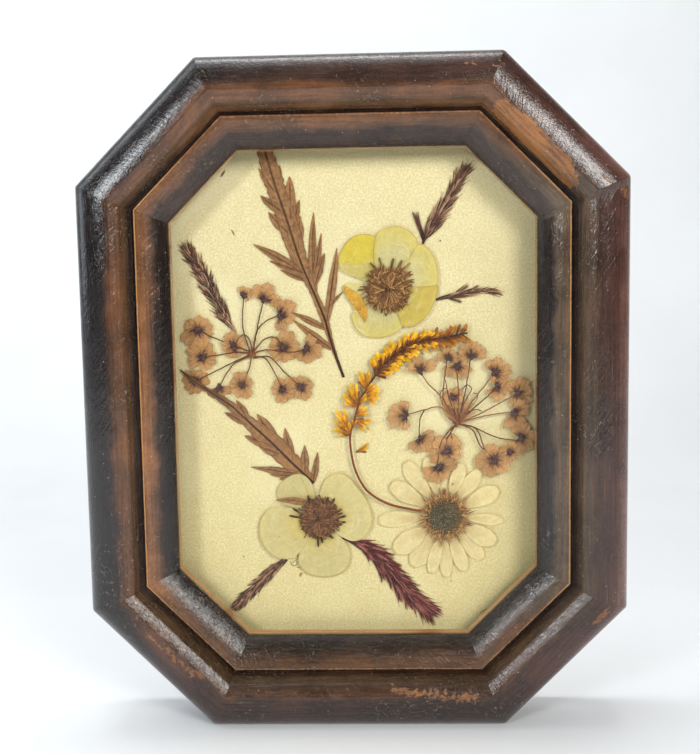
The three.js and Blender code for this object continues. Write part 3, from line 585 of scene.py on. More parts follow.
def card_material():
    s = Shader("covered_card", 0.85, Sheen_Weight=0.15, Sheen_Roughness=0.5)
    spot = s.place()
    grain = s.noise(spot, 1.9, 4.0, 0.72)
    blot = s.noise(spot, 0.35, 3.0, 0.6)
    wide = s.noise(spot, 0.03, 2.0, 0.5)
    base = s.mix(s.band(grain, 0.35, 0.68), srgb(213, 196, 140), srgb(238, 226, 176))
    base = s.mix(s.band(blot, 0.4, 0.65, 0.0, 0.25), base, srgb(214, 194, 136))
    base = s.mix(s.band(wide, 0.45, 0.65, 0.0, 0.35), base, srgb(238, 228, 182))
    # Warmer and a little darker towards the bottom, a little bluer towards the top.
    height_tint = s.mix(s.band(s.split(spot)[2], 30, 125), (0.98, 0.955, 0.92, 1), (1.0, 1.0, 1.09, 1))
    base = s.mix(1.0, base, height_tint, "MULTIPLY")
    across, _, up = s.split(spot)
    # Painted shadow of the right and top rails on the card: a darker brown towards the right edge and along
    # the top.
    painted_rail_shadow = s.math("MAXIMUM", s.band(across, 24, 47, 0.0, 0.24), s.band(up, 142, 148, 0.0, 0.3))
    s.colour(s.mix(painted_rail_shadow, base, srgb(150, 134, 84)))
    s.bump(s.math("MULTIPLY_ADD", blot, 0.4, grain), 0.12, 0.5)
    return s.material


def board_material():
    s = Shader("brown_board", 0.85)
    spot = s.place()
    fibre = s.noise(s.scaled(spot, 1.0, 1.0, 0.25), 1.1, 5.0, 0.7, 0.6)
    fleck = s.noise(spot, 2.6, 2.0, 0.5)
    base = s.ramp(fibre, [(0.3, srgb(112, 84, 56)), (0.55, srgb(142, 110, 76)), (0.75, srgb(164, 132, 96))])
    s.colour(s.mix(s.band(fleck, 0.64, 0.72, 0.0, 0.6), base, srgb(74, 54, 38)))
    s.bump(fibre, 0.08, 0.6)
    return s.material


def steel_material():
    s = Shader("dull_steel", 0.4, Metallic=1.0)
    spot = s.place()
    brushed = s.noise(s.scaled(spot, 6.0, 6.0, 0.4), 1.0, 3.0, 0.6)
    stain = s.noise(spot, 0.8, 3.0, 0.6)
    base = s.ramp(brushed, [(0.3, srgb(140, 139, 136)), (0.7, srgb(190, 190, 188))])
    s.colour(s.mix(s.band(stain, 0.56, 0.7, 0.0, 0.6), base, srgb(122, 98, 74)))
    s.feed(s.bsdf.inputs["Roughness"], s.band(stain, 0.4, 0.7, 0.32, 0.6))
    s.bump(brushed, 0.02, 0.5)
    return s.material


# ------------------------------------------------------------------ plant materials


def dried(name, along, streak_colour, light=None, tone_shift=0.25, streaks=(0.4, 5.0)):
    """Dried plant: a ramp of colours along each blade, streaked across it, mottled, some blades light."""
    s = Shader(name, 0.75, Specular_IOR_Level=0.25)
    share, across, tone = s.split(s.attribute("form"))
    mottle = s.noise(s.place(), 1.1, 4.0, 0.65)
    share = s.math("ADD", share, s.math("MULTIPLY_ADD", mottle, 0.3, -0.15))
    base = s.ramp(share, along)
    if light:
        base = s.mix(s.band(tone, 0.5, 0.98, 0.0, 0.85), base, light)
    vein = s.noise(s.stretched((share, across, tone), (*streaks, 37.0)), 1.6, 3.0, 0.6)
    base = s.mix(s.band(vein, 0.5, 0.68, 0.0, 0.65), base, streak_colour)
    shade = s.math("MULTIPLY_ADD", tone, 2 * tone_shift, 1 - tone_shift)
    s.colour(s.shaded(base, s.product(shade, s.band(mottle, 0.3, 0.7, 0.82, 1.12))))
    s.bump(s.math("MULTIPLY_ADD", vein, 0.7, mottle), 0.1, 0.6)
    return s.material


def leaf_material():
    s = Shader("dry_leaf", 0.72, Alpha=0.8, Specular_IOR_Level=0.25)
    share, across, tone = s.split(s.attribute("form"))
    mottle = s.noise(s.place(), 0.9, 4.0, 0.65)
    base = s.ramp(mottle, [(0.3, srgb(130, 90, 60)), (0.52, srgb(164, 120, 80)), (0.72, srgb(184, 142, 98))])
    base = s.mix(s.band(share, 0.45, 1.0, 0.0, 0.5), base, srgb(190, 132, 78))
    vein = s.noise(s.stretched((share, across, tone), (0.6, 4.6, 31.0)), 1.5, 2.0, 0.5)
    base = s.mix(s.band(vein, 0.5, 0.62, 0.0, 0.4), base, srgb(104, 68, 46))
    rib = s.band(s.math("ABSOLUTE", across), 0.22, 0.08, 0.0, 0.6)
    base = s.mix(rib, base, srgb(82, 52, 38))
    edge = s.band(s.math("ABSOLUTE", across), 0.8, 0.97, 0.0, 0.55)
    base = s.mix(edge, base, srgb(94, 60, 42))
    along, _, up = s.split(s.place())
    dark_tip = s.product(s.band(along, -31, -35), s.band(up, 96, 94))
    base = s.mix(s.product(dark_tip, 0.6), base, srgb(92, 64, 48))
    s.colour(s.shaded(base, s.math("MULTIPLY_ADD", tone, 0.5, 0.75)))
    s.bump(s.math("MULTIPLY_ADD", vein, 0.6, mottle), 0.08, 0.6)
    return s.material


def petal_material(
    name, inner, body, rim, vein_colour, alpha=0.62, claw=None, vein_share=0.3, edge_from=0.965,
    spread=(0.2, 0.75), pale_side=None, specks=None
):
    """A thin dried petal: fine veins that fan out from its base, and a darker rim."""
    s = Shader(name, 0.6, Alpha=alpha, Specular_IOR_Level=0.3)
    share, across, tone = s.split(s.attribute("form"))
    spot = s.place()
    mottle = s.noise(spot, 0.5, 4.0, 0.6)
    fine = s.noise(spot, 2.2, 3.0, 0.6)
    ragged = s.math("ADD", share, s.math("MULTIPLY_ADD", mottle, 0.24, -0.12))
    base = s.mix(s.band(ragged, *spread), inner, body)
    if pale_side:
        height = s.math("ADD", mottle, s.math("SUBTRACT", s.split(spot)[2], 0.5))
        base = s.mix(s.band(height, 119.7, 118.9), base, pale_side)
    if claw:
        sides = s.math("MULTIPLY_ADD", s.math("ABSOLUTE", across), -0.22, ragged)
        base = s.mix(s.band(sides, 0.3, 0.02), base, claw)
    vein = s.noise(s.stretched((share, across, tone), (1.1, 9.0, 23.0)), 1.3, 3.0, 0.6)
    base = s.mix(s.band(vein, 0.48, 0.66, 0.0, vein_share), base, vein_colour)
    edge = s.math("MAXIMUM", share, s.math("ABSOLUTE", across))
    base = s.mix(s.band(edge, edge_from, 0.995, 0.0, 0.75), base, rim)
    if specks:
        base = s.mix(s.band(fine, 0.62, 0.7, 0.0, 0.7), base, specks)
    shade = s.product(s.math("MULTIPLY_ADD", tone, 0.24, 0.88), s.band(mottle, 0.3, 0.7, 0.94, 1.05))
    # Fine crease lines: raised in the bump, and painted with a pale highlight along them.
    fold = s.noise(s.stretched((share, across, tone), (7.0, 1.6, 41.0)), 1.0, 2.0, 0.5, 1.4)
    base = s.mix(s.band(fold, 0.6, 0.72, 0.0, 0.3), base, srgb(250, 244, 212))
    s.colour(s.shaded(base, s.product(shade, s.band(fine, 0.35, 0.65, 0.95, 1.04))))
    relief = s.math("MULTIPLY_ADD", vein, 0.5, s.product(mottle, 0.6))
    s.bump(s.math("MULTIPLY_ADD", fold, 1.1, relief), 0.08, 0.55)
    return s.material


# ------------------------------------------------------------------ plant forms


def blade(
    piece, line, half_widths, height, rng, thickness=0.12, cols=9, curl=0.12, ridge=0.0, tone=0.5, slot=0
):
    """A thin blade along a line of (x, z) points, with its edges a little raised or lowered."""
    line = np.asarray(line, float)
    half = np.asarray(half_widths, float)
    along = np.gradient(line, axis=0)
    along /= np.linalg.norm(along, axis=1)[:, None] + 1e-9
    across = np.column_stack([-along[:, 1], along[:, 0]])
    share = np.linspace(-1, 1, cols)
    spot = line[:, None] + across[:, None] * (half[:, None] * share)[..., None]
    seed = rng.uniform(0, 20)
    up = height + curl * share**2 * np.minimum(half, 1)[:, None]
    up = up + ridge * np.exp(-((share / 0.22) ** 2)) + 0.05 * wobble(spot[..., 0], spot[..., 1], seed, 0.9)
    grid = np.stack([spot[..., 0], up, spot[..., 1]], -1)
    steps = np.linspace(0, 1, len(line))
    form = np.stack(np.broadcast_arrays(steps[:, None], share[None], np.full((1, 1), tone)), -1)
    piece.sheet(grid, form, thickness, slot)


LOBE_SHARES = np.array([0, 0.12, 0.26, 0.42, 0.58, 0.72, 0.85, 0.94, 1.0])
LOBE_WIDTHS = np.array([0.5, 0.72, 0.92, 1.0, 0.92, 0.72, 0.46, 0.24, 0.05])


def lobe(piece, numbers, height, rng, bend=0.06, **looks):
    """A pointed lobe from its base to its tip, slightly bent and uneven."""
    x1, z1, x2, z2, width = numbers
    start, end = np.array([x1, z1]), np.array([x2, z2])
    reach = end - start
    normal = np.array([-reach[1], reach[0]])
    lean = rng.uniform(-bend, bend)
    line = start + reach * LOBE_SHARES[:, None] + normal * (lean * np.sin(LOBE_SHARES * math.pi))[:, None]
    uneven = np.array([rng.uniform(0.9, 1.12) for _ in LOBE_SHARES])
    blade(piece, line, LOBE_WIDTHS * width / 2 * uneven, height, rng, **looks)


def fan(
    piece, base, outline, height, rng, rows=22, thickness=0.1, tone=0.5, crumple=0.06, creases=(),
    hub=0.05, pleats=0.0, crinkles=0.0
):
    """A petal that spreads from its base to an outline, given from one side of the base to the other."""
    outline = np.asarray(outline, float)
    base = np.asarray(base, float)
    share = np.linspace(hub, 1, rows) ** 0.9
    spot = base + (outline[None] - base) * share[:, None, None]
    x, z = spot[..., 0], spot[..., 1]
    seed = rng.uniform(0, 30)
    across = np.linspace(-1, 1, len(outline))
    up = height + crumple * wobble(x, z, seed, 1.5) + 0.5 * crumple * wobble(x, z, seed + 3, 0.55)
    up = up + 0.07 * np.exp(-(((1 - share) / 0.05) ** 2))[:, None] * (1 + 0.6 * wobble(x, z, seed + 5, 1.1))
    up = up + crinkles * (crinkle(x, z, seed, 0.7) + crinkle(x, z, seed + 1.3, 0.9))
    up = up + pleats * share[:, None] * np.sin(across[None] * 11 + seed + 0.8 * wobble(x, z, seed, 1.0))
    for x1, z1, x2, z2, width, rise in creases:
        up = up + rise * np.exp(-((gap_to(x, z, x1, z1, x2, z2) / width) ** 2))
    grid = np.stack([x, up, z], -1)
    form = np.stack(np.broadcast_arrays(share[:, None], across[None], np.full((1, 1), tone)), -1)
    piece.sheet(grid, form, thickness)


# ---- leaves

UPPER_LEAF = {
    "rib": [
        (-23, 150.5), (-20.2, 140.5), (-17.2, 131), (-14, 120.5), (-11, 113), (-8, 105.5), (-5.8, 97.5),
        (-3, 89.3),
    ],
    "half": [2.1, 2.3, 2.5, 2.1, 0.9, 1.0, 0.5, 0.25],
    "lobes": [
        (-20.5, 138.5, -24.2, 144.2, 2), (-18.5, 133, -23.9, 137.2, 2.4), (-17, 127.5, -21.9, 132.8, 2.6),
        (-19.5, 138, -18.7, 145, 1.8), (-16.2, 131, -16.2, 142, 3), (-15.5, 129, -13.7, 135.9, 2),
        (-14.3, 123.5, -13.7, 131.9, 2.8), (-13.2, 117, -26.1, 124.6, 2.5), (-13.6, 117, -21.9, 120.2, 2),
        (-12.6, 115, -19.2, 117.8, 1.8), (-10.2, 111, -10.1, 132.7, 2.5), (-10.3, 115, -8.2, 127.2, 1.6),
        (-10, 114, -7.4, 122, 2), (-7.2, 104, -4.2, 123.3, 2.1), (-7, 107.5, -2.7, 112, 1),
        (-7, 102, -16.6, 106.8, 1.8), (-6, 96.8, -16, 104.6, 2.2),
    ],
}
LOWER_LEAF = {
    "rib": [
        (-46.4, 92), (-42.6, 88.8), (-38, 85.6), (-33, 82), (-28, 77.2), (-22, 71.5), (-16.5, 65.8),
        (-11.5, 61),
    ],
    "half": [0.1, 0.5, 0.7, 1.1, 1.7, 2.7, 2.4, 0.9],
    "lobes": [
        (-28.6, 78, -31.7, 83.6, 2), (-21.5, 71.5, -26.3, 79.8, 3.4), (-16.8, 66.5, -18.9, 76, 2.6),
        (-13.8, 62.5, -13.7, 71.3, 2.2), (-11.8, 61, -10.3, 69.3, 1.8), (-29.5, 77.2, -34.9, 80.3, 2),
        (-23, 71.5, -29.8, 74, 2.4), (-20.5, 69, -26, 71, 2.4), (-15.5, 63.6, -28.3, 65.5, 1.9),
        (-14.5, 62.8, -23.4, 63.4, 1.5), (-14.5, 62, -20.8, 62.2, 1.4),
    ],
}


def lifted_end(x):
    """How far the lower leaf's tip rises where it lies over the left umbel's florets."""
    return 0.5 * np.clip((-32 - x) / 4, 0, 1)


def make_leaf(name, leaf, materials, seed, rib_tip):
    rng = random.Random(seed)
    piece = Piece()
    steps = 70
    line = curve(leaf["rib"], steps)
    half = curve([[w] for w in leaf["half"]], steps)[:, 0]
    half = half * (1 + 0.16 * wobble(line[:, 0], line[:, 1], seed, 0.8)) + 0.05
    blade(piece, line, half, level(0) + 0.05, rng, cols=15, curl=0.1, ridge=0.12, tone=0.5)
    piece.points[-1][:, 1] += lifted_end(piece.points[-1][:, 0])
    for numbers in leaf["lobes"]:
        height = level(0) + rng.uniform(-0.05, 0.14)
        lobe(piece, numbers, height, rng, bend=0.03, ridge=0.06, tone=rng.uniform(0.35, 0.75))
        start, end = np.array(numbers[:2]), np.array(numbers[2:4])
        vein = start + (end - start) * np.linspace(0, 0.86, 7)[:, None]
        piece.tube(raised(vein, height + 0.09), np.linspace(0.13, 0.05, 7), 5, 0.7, 0.7, 1)
    rib = raised(line, level(0) + 0.16 + lifted_end(line[:, 0]))
    piece.tube(rib, np.linspace(rib_tip, 0.34, len(rib)), 6, 0.6, 0.2, 1)
    return piece.build(name + "_detail", materials, [name])


# ---- grasses

GRASS = [
    {
        "line": [(-31.4, 101.7), (-34, 105.5), (-37, 111.5), (-40, 117.5), (-42.2, 121.5), (-43.9, 124.5)],
        "half": [0.4, 1.7, 2.3, 1.9, 1.5, 0.5], "count": 330, "length": 3.6, "width": 0.19, "lean": 21,
        "hair": 0.5, "spurs": [(-32.6, 104.5, -36.8, 106.2, 0.5)],
    },
    {
        "line": [(18.2, 123.9), (19.8, 127.3), (22.3, 131), (25, 135.4), (28, 140.6), (30.6, 144.4)],
        "half": [0.4, 1.4, 1.7, 1.5, 1.2, 0.4], "count": 300, "length": 4.4, "width": 0.18, "lean": 17,
        "hair": 0.5, "spurs": [(18.5, 125, 16.1, 132.7, 2.0), (19.4, 125.6, 24.3, 129.9, 1.5)],
    },
    {
        "line": [(21.5, 109.4), (24.5, 110.1), (28, 110.6), (32, 111.2), (35.5, 111.2), (39, 110.2)],
        "half": [0.35, 0.8, 0.8, 0.6, 0.75, 0.2], "count": 120, "length": 4.2, "width": 0.17, "lean": 12,
        "hair": 0.4,
        "spurs": [
            (26, 110.6, 30.3, 113.4, 0.9), (24.5, 109.7, 28.7, 108.5, 0.8), (29.5, 111, 33, 113.1, 0.7),
        ],
    },
    {
        "line": [(-19.3, 40.3), (-22.5, 37.8), (-25.5, 35), (-28.8, 31.8), (-31.6, 29), (-34.2, 26.3)],
        "half": [1.0, 1.8, 1.9, 1.7, 1.5, 0.8], "count": 380, "length": 3.6, "width": 0.18, "lean": 12,
        "hair": 0.3, "spurs": [],
    },
    {
        "line": [(-4.2, 46.1), (0.5, 44.2), (5, 41), (9, 36), (13.5, 30.8), (17.5, 27), (21.2, 23.9)],
        "half": [0.4, 1.5, 2.9, 3.1, 2.4, 1.6, 0.6], "count": 620, "length": 5.0, "width": 0.2, "lean": 19,
        "hair": 0.6, "spurs": [(6, 39.8, 12, 37.3, 1.8), (9, 36, 14, 33.6, 1.4)],
    },
]
SPIKELET_SHARES = np.array([0, 0.18, 0.42, 0.66, 0.86, 1.0])
SPIKELET_WIDTHS = np.array([0.35, 0.8, 1.0, 0.78, 0.4, 0.1])


def spikelet(piece, base, direction, length, width, height, rng, hair=0.0):
    """One slender bristle, with an awn at its tip when hair has a length."""
    bend = rng.uniform(-0.1, 0.1)
    normal = np.array([-direction[1], direction[0]])
    flat = base + direction * (SPIKELET_SHARES * length)[:, None]
    flat = flat + normal * (bend * length * SPIKELET_SHARES**2)[:, None]
    line = raised(flat, height + 0.12 * np.sin(SPIKELET_SHARES * 3))
    tone = rng.random()
    piece.tube(line, SPIKELET_WIDTHS * width, 5, 0.8, tone)
    if hair:
        steps = np.linspace(0, 1, 4)[:, None]
        swing = rng.uniform(-0.3, 0.3) * hair
        tip = flat[-1] + (direction + normal * bend * 2) * steps * hair + normal * swing * steps**2
        piece.tube(raised(tip, line[-1, 1]), np.linspace(0.06, 0.03, 4), 3, 1.0, tone)


def make_grass(number, head, material):
    rng = random.Random(40 + number)
    piece = Piece()
    steps = 60
    line = curve(head["line"], steps)
    half = curve([[w] for w in head["half"]], steps)[:, 0]
    way = np.gradient(line, axis=0)
    way /= np.linalg.norm(way, axis=1)[:, None]
    rib = raised(line, level(0) + 0.1)
    piece.tube(rib, np.linspace(0.3, 0.12, len(rib)), 6, 0.7, 0.1)
    whole = np.linalg.norm(np.diff(line, axis=0), axis=1).sum()
    last = 1 - head["length"] * 0.85 / whole
    for i in range(head["count"]):
        share = (i + rng.random()) / head["count"] * last
        k = int(share * steps)
        side = rng.uniform(-1, 1)
        normal = np.array([-way[k, 1], way[k, 0]])
        base = line[k] + normal * side * half[k] * 0.5
        lean = math.radians(head["lean"] * side * rng.uniform(0.6, 1.3)) * min(half[k], 1.6) / 1.2
        direction = way[k] * math.cos(lean) + normal * math.sin(lean)
        length = head["length"] * rng.uniform(0.65, 1.1)
        hair = rng.uniform(0.3, 2.2) * head["hair"] if rng.random() < 0.4 else 0
        height = level(0) + rng.uniform(0, 0.5) * math.sqrt(1 - side**2)
        spikelet(piece, base, direction, length, head["width"] * rng.uniform(0.6, 1.2), height, rng, hair)
    for x1, z1, x2, z2, width in head["spurs"]:
        start, end = np.array([x1, z1]), np.array([x2, z2])
        reach = np.linalg.norm(end - start)
        direction = (end - start) / reach
        normal = np.array([-direction[1], direction[0]])
        for i in range(20):
            share = i / 30
            base = start + direction * share * reach * 0.7 + normal * rng.uniform(-0.22, 0.22) * width
            length = reach * (1 - share * 0.7) * rng.uniform(0.7, 0.98)
            turned = direction + normal * rng.uniform(-0.1, 0.1)
            spikelet(piece, base, turned, length, width * 0.12, level(0) + rng.uniform(0, 0.4), rng)
    node = f"grass_spike_{number + 1}"
    return piece.build(node + "_detail", [material], [node])


# ---- umbels

LEFT_UMBEL = [
    ([(-27.5, 96.5), (-33.5, 98.8), (-41.2, 102.1)], (-41.3, 102.4, 4.5, 90, 360)),
    ([(-27.5, 96.2), (-32, 96.3), (-39.8, 95.2)], (-40.2, 95.3, 4.2, 60, 360)),
    ([(-26.9, 96.8), (-27.8, 99.9), (-29.6, 100.9), (-31.9, 98)], (-32, 98, 3.7, 20, 360)),
    ([(-27.5, 95.6), (-31.5, 94), (-42.2, 89)], (-42.3, 88.8, 3.7, 70, 360)),
    ([(-27.8, 95.2), (-31.5, 93.6), (-33.8, 91), (-36.2, 87)], (-36.2, 87.2, 3.7, -85, 170)),
    ([(-27.2, 95.5), (-28, 91.8), (-30, 87.8)], (-30, 87.6, 3.4, 40, 360)),
    ([(-27.5, 96), (-29.3, 103), (-28.9, 111)], (-28.9, 111.4, 2.4, 40, 200)),
    ([(-26.8, 96.5), (-25, 105), (-23.7, 109.6)], (-23.6, 109.8, 4.6, 70, 180)),
    ([(-26.8, 96.5), (-25.6, 101.8), (-23, 104.6), (-19.6, 106)], (-19.5, 106, 4.6, 10, 230)),
    ([(-26.7, 96.3), (-23.8, 99.6), (-21, 100.2), (-19, 98)], (-18.8, 97.6, 4.3, 10, 360)),
    ([(-26.7, 95.9), (-23.5, 96.9), (-16.5, 96.2), (-13, 97)], (-12.9, 97.2, 4.1, -40, 250)),
    ([(-26.8, 95), (-24, 94.9), (-22, 92.3), (-19.4, 86.8)], (-19.3, 86.4, 3.3, 30, 360)),
    ([(-26.8, 94.8), (-22.5, 95), (-18.5, 90.8), (-14.4, 87)], (-14.2, 86.9, 3.3, 10, 360)),
]
RIGHT_UMBEL = [
    ([(26.9, 77.5), (22.5, 84), (19.3, 87.3), (17.3, 90.4)], (17.2, 90.6, 4.2, 95, 170)),
    ([(26.8, 77.5), (23.4, 82.8), (23.2, 86), (24.2, 93.6)], (24.4, 94, 3.3, 75, 230)),
    ([(26.9, 77.5), (27.2, 85), (26.6, 91.6)], (26.7, 92, 3.8, -60, 250)),
    ([(27, 77.5), (28.9, 85), (30.4, 94)], (30.6, 94.4, 4.1, 90, 210)),
    ([(26.9, 77.5), (26.1, 80.5), (25.9, 83.6)], (25.8, 83.8, 2.8, 70, 360)),
    ([(27.3, 77.4), (31.5, 83.5), (36.4, 89.6)], (36.7, 90, 4.5, 40, 230)),
    ([(27.4, 77.3), (31.5, 81), (36.9, 85.9)], (37.2, 86.2, 3.5, -20, 300)),
    ([(27.5, 77.1), (32.5, 79.2), (42.4, 84.4)], (42.6, 84.6, 4.1, 10, 300)),
    ([(27.5, 77), (34, 78.7), (41.3, 79.7)], (41.6, 79.5, 4.2, -20, 220)),
    ([(27.3, 76.6), (30.5, 76), (37, 73), (43.2, 72)], (43.4, 72.8, 3.8, 10, 280)),
    ([(27.2, 76.5), (30.8, 75), (33.2, 70.2), (37, 68.7), (40, 69)], (40.4, 69, 3, 0, 300)),
    ([(27.2, 76.5), (31.8, 75.2), (34, 69.8), (36.3, 67.4)], (36.6, 66.9, 4.6, -80, 360)),
    ([(26.6, 76.5), (24.2, 73), (23.7, 69.8)], (24, 69.4, 4.5, 0, 360)),
    ([(26.3, 76.5), (22.6, 72), (21.4, 65.6)], (21.6, 65.2, 4.5, -75, 220)),
    ([(26.5, 77.3), (22.5, 81.1), (18, 80.5), (13.4, 79.2)], (13.3, 79.2, 4.6, 180, 220)),
    ([(18.2, 80.6), (17, 78), (16.7, 73.4)], (17, 73, 3.9, -55, 200)),
]


def floret(piece, numbers, height, rng):
    """A spread or folded floret: overlapping notched petals round a dark heart, with its dry stamens."""
    x, z, radius, turn, angle = numbers
    count = 5 if angle == 360 else max(3, round(angle / 58))
    middle = np.array([x, z])
    start = rng.uniform(0, 72) if angle == 360 else 0
    share = np.linspace(-1, 1, 25)
    for k in range(count):
        facing = turn - angle / 2 + start + (k + 0.5) * angle / count + rng.uniform(-8, 8)
        half = angle / count / 2 * rng.uniform(1.0, 1.25) + 4
        reach = radius * rng.uniform(0.86, 1.16)
        notch = 1 - 0.08 * np.exp(-((share / 0.2) ** 2)) - 0.5 * np.abs(share) ** 3.2
        notch = notch * (1 + 0.05 * np.sin(share * 6 + rng.uniform(0, 6)))
        notch = notch * (1 + 0.025 * np.sin(share * 13 + rng.uniform(0, 6)))
        notch = notch * (1 + 0.018 * np.sin(share * 29 + rng.uniform(0, 6)))
        rim = np.array([heading(facing + half * u) for u in share]) * (reach * notch)[:, None]
        up = height + k * 0.045 + rng.uniform(-0.02, 0.02)
        fan(piece, middle, middle + rim, up, rng, 9, 0.05, rng.random(), 0.07, hub=0.12, pleats=0.06)
    for _ in range(10):
        spot = middle + heading(rng.uniform(0, 360)) * rng.uniform(0, 0.75)
        size = rng.uniform(0.3, 0.62)
        up = height + 0.3 + rng.uniform(0, 0.12)
        piece.blob((spot[0], up, spot[1]), (size, 0.2, size * 0.7), rng, rng.random(), 1, 6)
    for _ in range(24):
        way = rng.uniform(0, 360) if angle == 360 else turn + rng.uniform(-0.5, 0.5) * angle
        reach = radius * rng.uniform(0.3, 0.6)
        swing = rng.uniform(-12, 12)
        thread = [middle + heading(way + swing * t) * reach * t for t in (0.15, 0.45, 0.75, 1)]
        thread = raised(np.array(thread), height + 0.32)
        piece.tube(thread, np.array([0.12, 0.08, 0.06, 0.04]), 4, 0.8, rng.random(), 1)


# Dry bracts and broken rays round the right umbel's hub: lobes, and thin curled lines.
HUB_BRACTS = [
    (26.8, 77.0, 22.8, 83.0, 1.7), (27, 77.6, 24.4, 85.6, 1.3), (27.2, 77.8, 29.4, 84.4, 1.6),
    (27, 77.5, 27.2, 82.0, 1.5), (27.4, 77.3, 31.6, 79.4, 1.5), (26.8, 76.6, 24.4, 74.6, 0.9),
]
HUB_THREADS = [
    [(27, 77.4), (28.2, 81), (29.4, 83.6), (30.6, 85.8), (29.4, 87), (28.2, 85.8)],
    [(27.2, 77.4), (29.4, 80.2), (31.6, 82.6), (32.2, 84.4), (30.9, 84.8)],
    [(26.8, 77), (23.6, 81.2), (22.4, 83.6), (22.8, 85.6), (24.2, 86.2)],
    [(26.9, 77.4), (25.4, 81.4), (24.4, 84.6), (23.8, 88.4)],
    [(26.8, 76.8), (25.2, 74.6), (25.4, 72.8)], [(27.2, 77.6), (29, 79.4), (31.6, 80.4), (33.2, 80)],
]


def make_umbel(name, stems, hub, layer, materials, seed, extras=False):
    rng = random.Random(seed)
    piece = Piece()
    height = level(layer)
    for i, (line, numbers) in enumerate(stems):
        flat = curve(line, 28)
        ripple = 0.07 * wobble(flat[:, 0], flat[:, 1], seed + i, 0.6)
        ray = raised(flat + np.column_stack([ripple, -ripple]), height + 0.12 + 0.02 * (i % 4))
        piece.tube(ray, np.linspace(0.19, 0.14, len(ray)), 6, 0.8, rng.random(), 2)
        under_leaf = numbers[0] < -36 and numbers[1] < 90
        floret(piece, numbers, height - 0.02 + 0.05 * (i % 3) - 0.5 * under_leaf, rng)
    for _ in range(12):
        spot = np.array(hub) + heading(rng.uniform(0, 360)) * rng.uniform(0, 0.8)
        piece.blob((spot[0], height + 0.15, spot[1]), (0.6, 0.16, 0.4), rng, rng.random(), 2, 6)
    if extras:
        for numbers in HUB_BRACTS:
            tone = rng.uniform(0, 0.4)
            lobe(piece, numbers, height + 0.1, rng, bend=0.16, thickness=0.05, ridge=0.1, tone=tone)
        for line in HUB_THREADS:
            piece.tube(raised(curve(line, 22), height + 0.2), 0.13, 5, 1.0, rng.random(), 2)
    return piece.build(name + "_detail", materials, [name])


# ---- goldenrod

STALK = [
    (17.2, 53.3), (13.5, 54.1), (9, 55.2), (5, 57.2), (2, 60), (-0.4, 65), (-1.4, 70.5), (-1.4, 74.5),
    (0, 79), (1, 82.5), (2.8, 85.8), (5, 89.2), (7, 92), (9.6, 94.1), (13.4, 96.9), (18, 98.7),
    (23, 99.4), (29.6, 100.6),
]
LOWER_FLORETS = [
    (-1.5, 74, -5.7, 75.5, 1.4), (-1.7, 74.8, -5.8, 77.8, 1.3), (-2, 75.6, -5.3, 79.2, 1.2),
    (-1.8, 75.8, -4.5, 81.5, 1.4), (-1.4, 74.3, -2.2, 77.5, 1.5), (-0.8, 75.8, 0, 78.5, 0.9),
    (-0.2, 78.3, 4.3, 76.9, 1.1), (-0.2, 78, 3.9, 75.5, 1.1), (0.1, 79, 3, 81.5, 1.7),
    (0.5, 81.6, -2.9, 83.3, 1.3), (0.6, 82, -3.3, 84.8, 1.2), (0.6, 82.2, -3.3, 86.4, 1.2),
    (0.7, 82.4, -1.3, 88, 1.5), (0.9, 82, 2.9, 85.1, 1.6), (2.2, 84.2, 6.3, 83.2, 1.3),
    (2.2, 84.4, 6.8, 84.6, 1.3), (2.4, 84.8, 6.7, 86, 1.2), (2.8, 85.6, 5.6, 87.7, 1.1),
    (2.8, 86, 1.3, 91.2, 1.3), (3, 86.4, 2.7, 91.3, 1.2),
]
SPRAY = {"nodes": 33, "from": 0.66, "to": 0.985, "lean": 44}
SPRAY_LENGTH, SPRAY_WIDTH = (4.4, 3.0), (0.5, 0.4)
FINGER_SHARES = np.array([0, 0.12, 0.3, 0.5, 0.7, 0.84, 0.93, 0.98, 1.0])
FINGER_WIDTHS = np.array([0.45, 0.55, 0.66, 0.82, 1.0, 1.0, 0.82, 0.5, 0.12])


def finger(piece, base, turn, length, radius, height, rng, slot=0, bend=14):
    """One narrow ray with a round tip, or a scale of the cup."""
    swing = rng.uniform(-bend, bend)
    flat = np.array([np.array(base) + heading(turn + swing * t) * length * t for t in FINGER_SHARES])
    lift = height + 0.16 * np.sin(FINGER_SHARES * 2.6)
    piece.tube(raised(flat, lift), FINGER_WIDTHS * radius, 7, 0.62, rng.random(), slot)


def ray_floret(piece, base, tip, width, height, rng):
    """A goldenrod floret: a scaly cup and a few narrow rays with round yellow tips."""
    reach = np.array(tip) - np.array(base)
    length = np.linalg.norm(reach)
    turn = math.degrees(math.atan2(reach[1], reach[0]))
    for k in range(4):
        aim = turn + (k - 1.5) * rng.uniform(8, 12)
        finger(piece, base, aim, length * rng.uniform(0.5, 0.68), width * 0.22, height + 0.05 * k, rng, 1)
    for k in range(3):
        aim = turn + (k - 1) * rng.uniform(10, 17) + rng.uniform(-3, 3)
        part = length * (1 if k == 1 else rng.uniform(0.78, 0.92))
        finger(piece, base, aim, part, width * 0.3, height + 0.14 + 0.08 * (k % 2), rng)


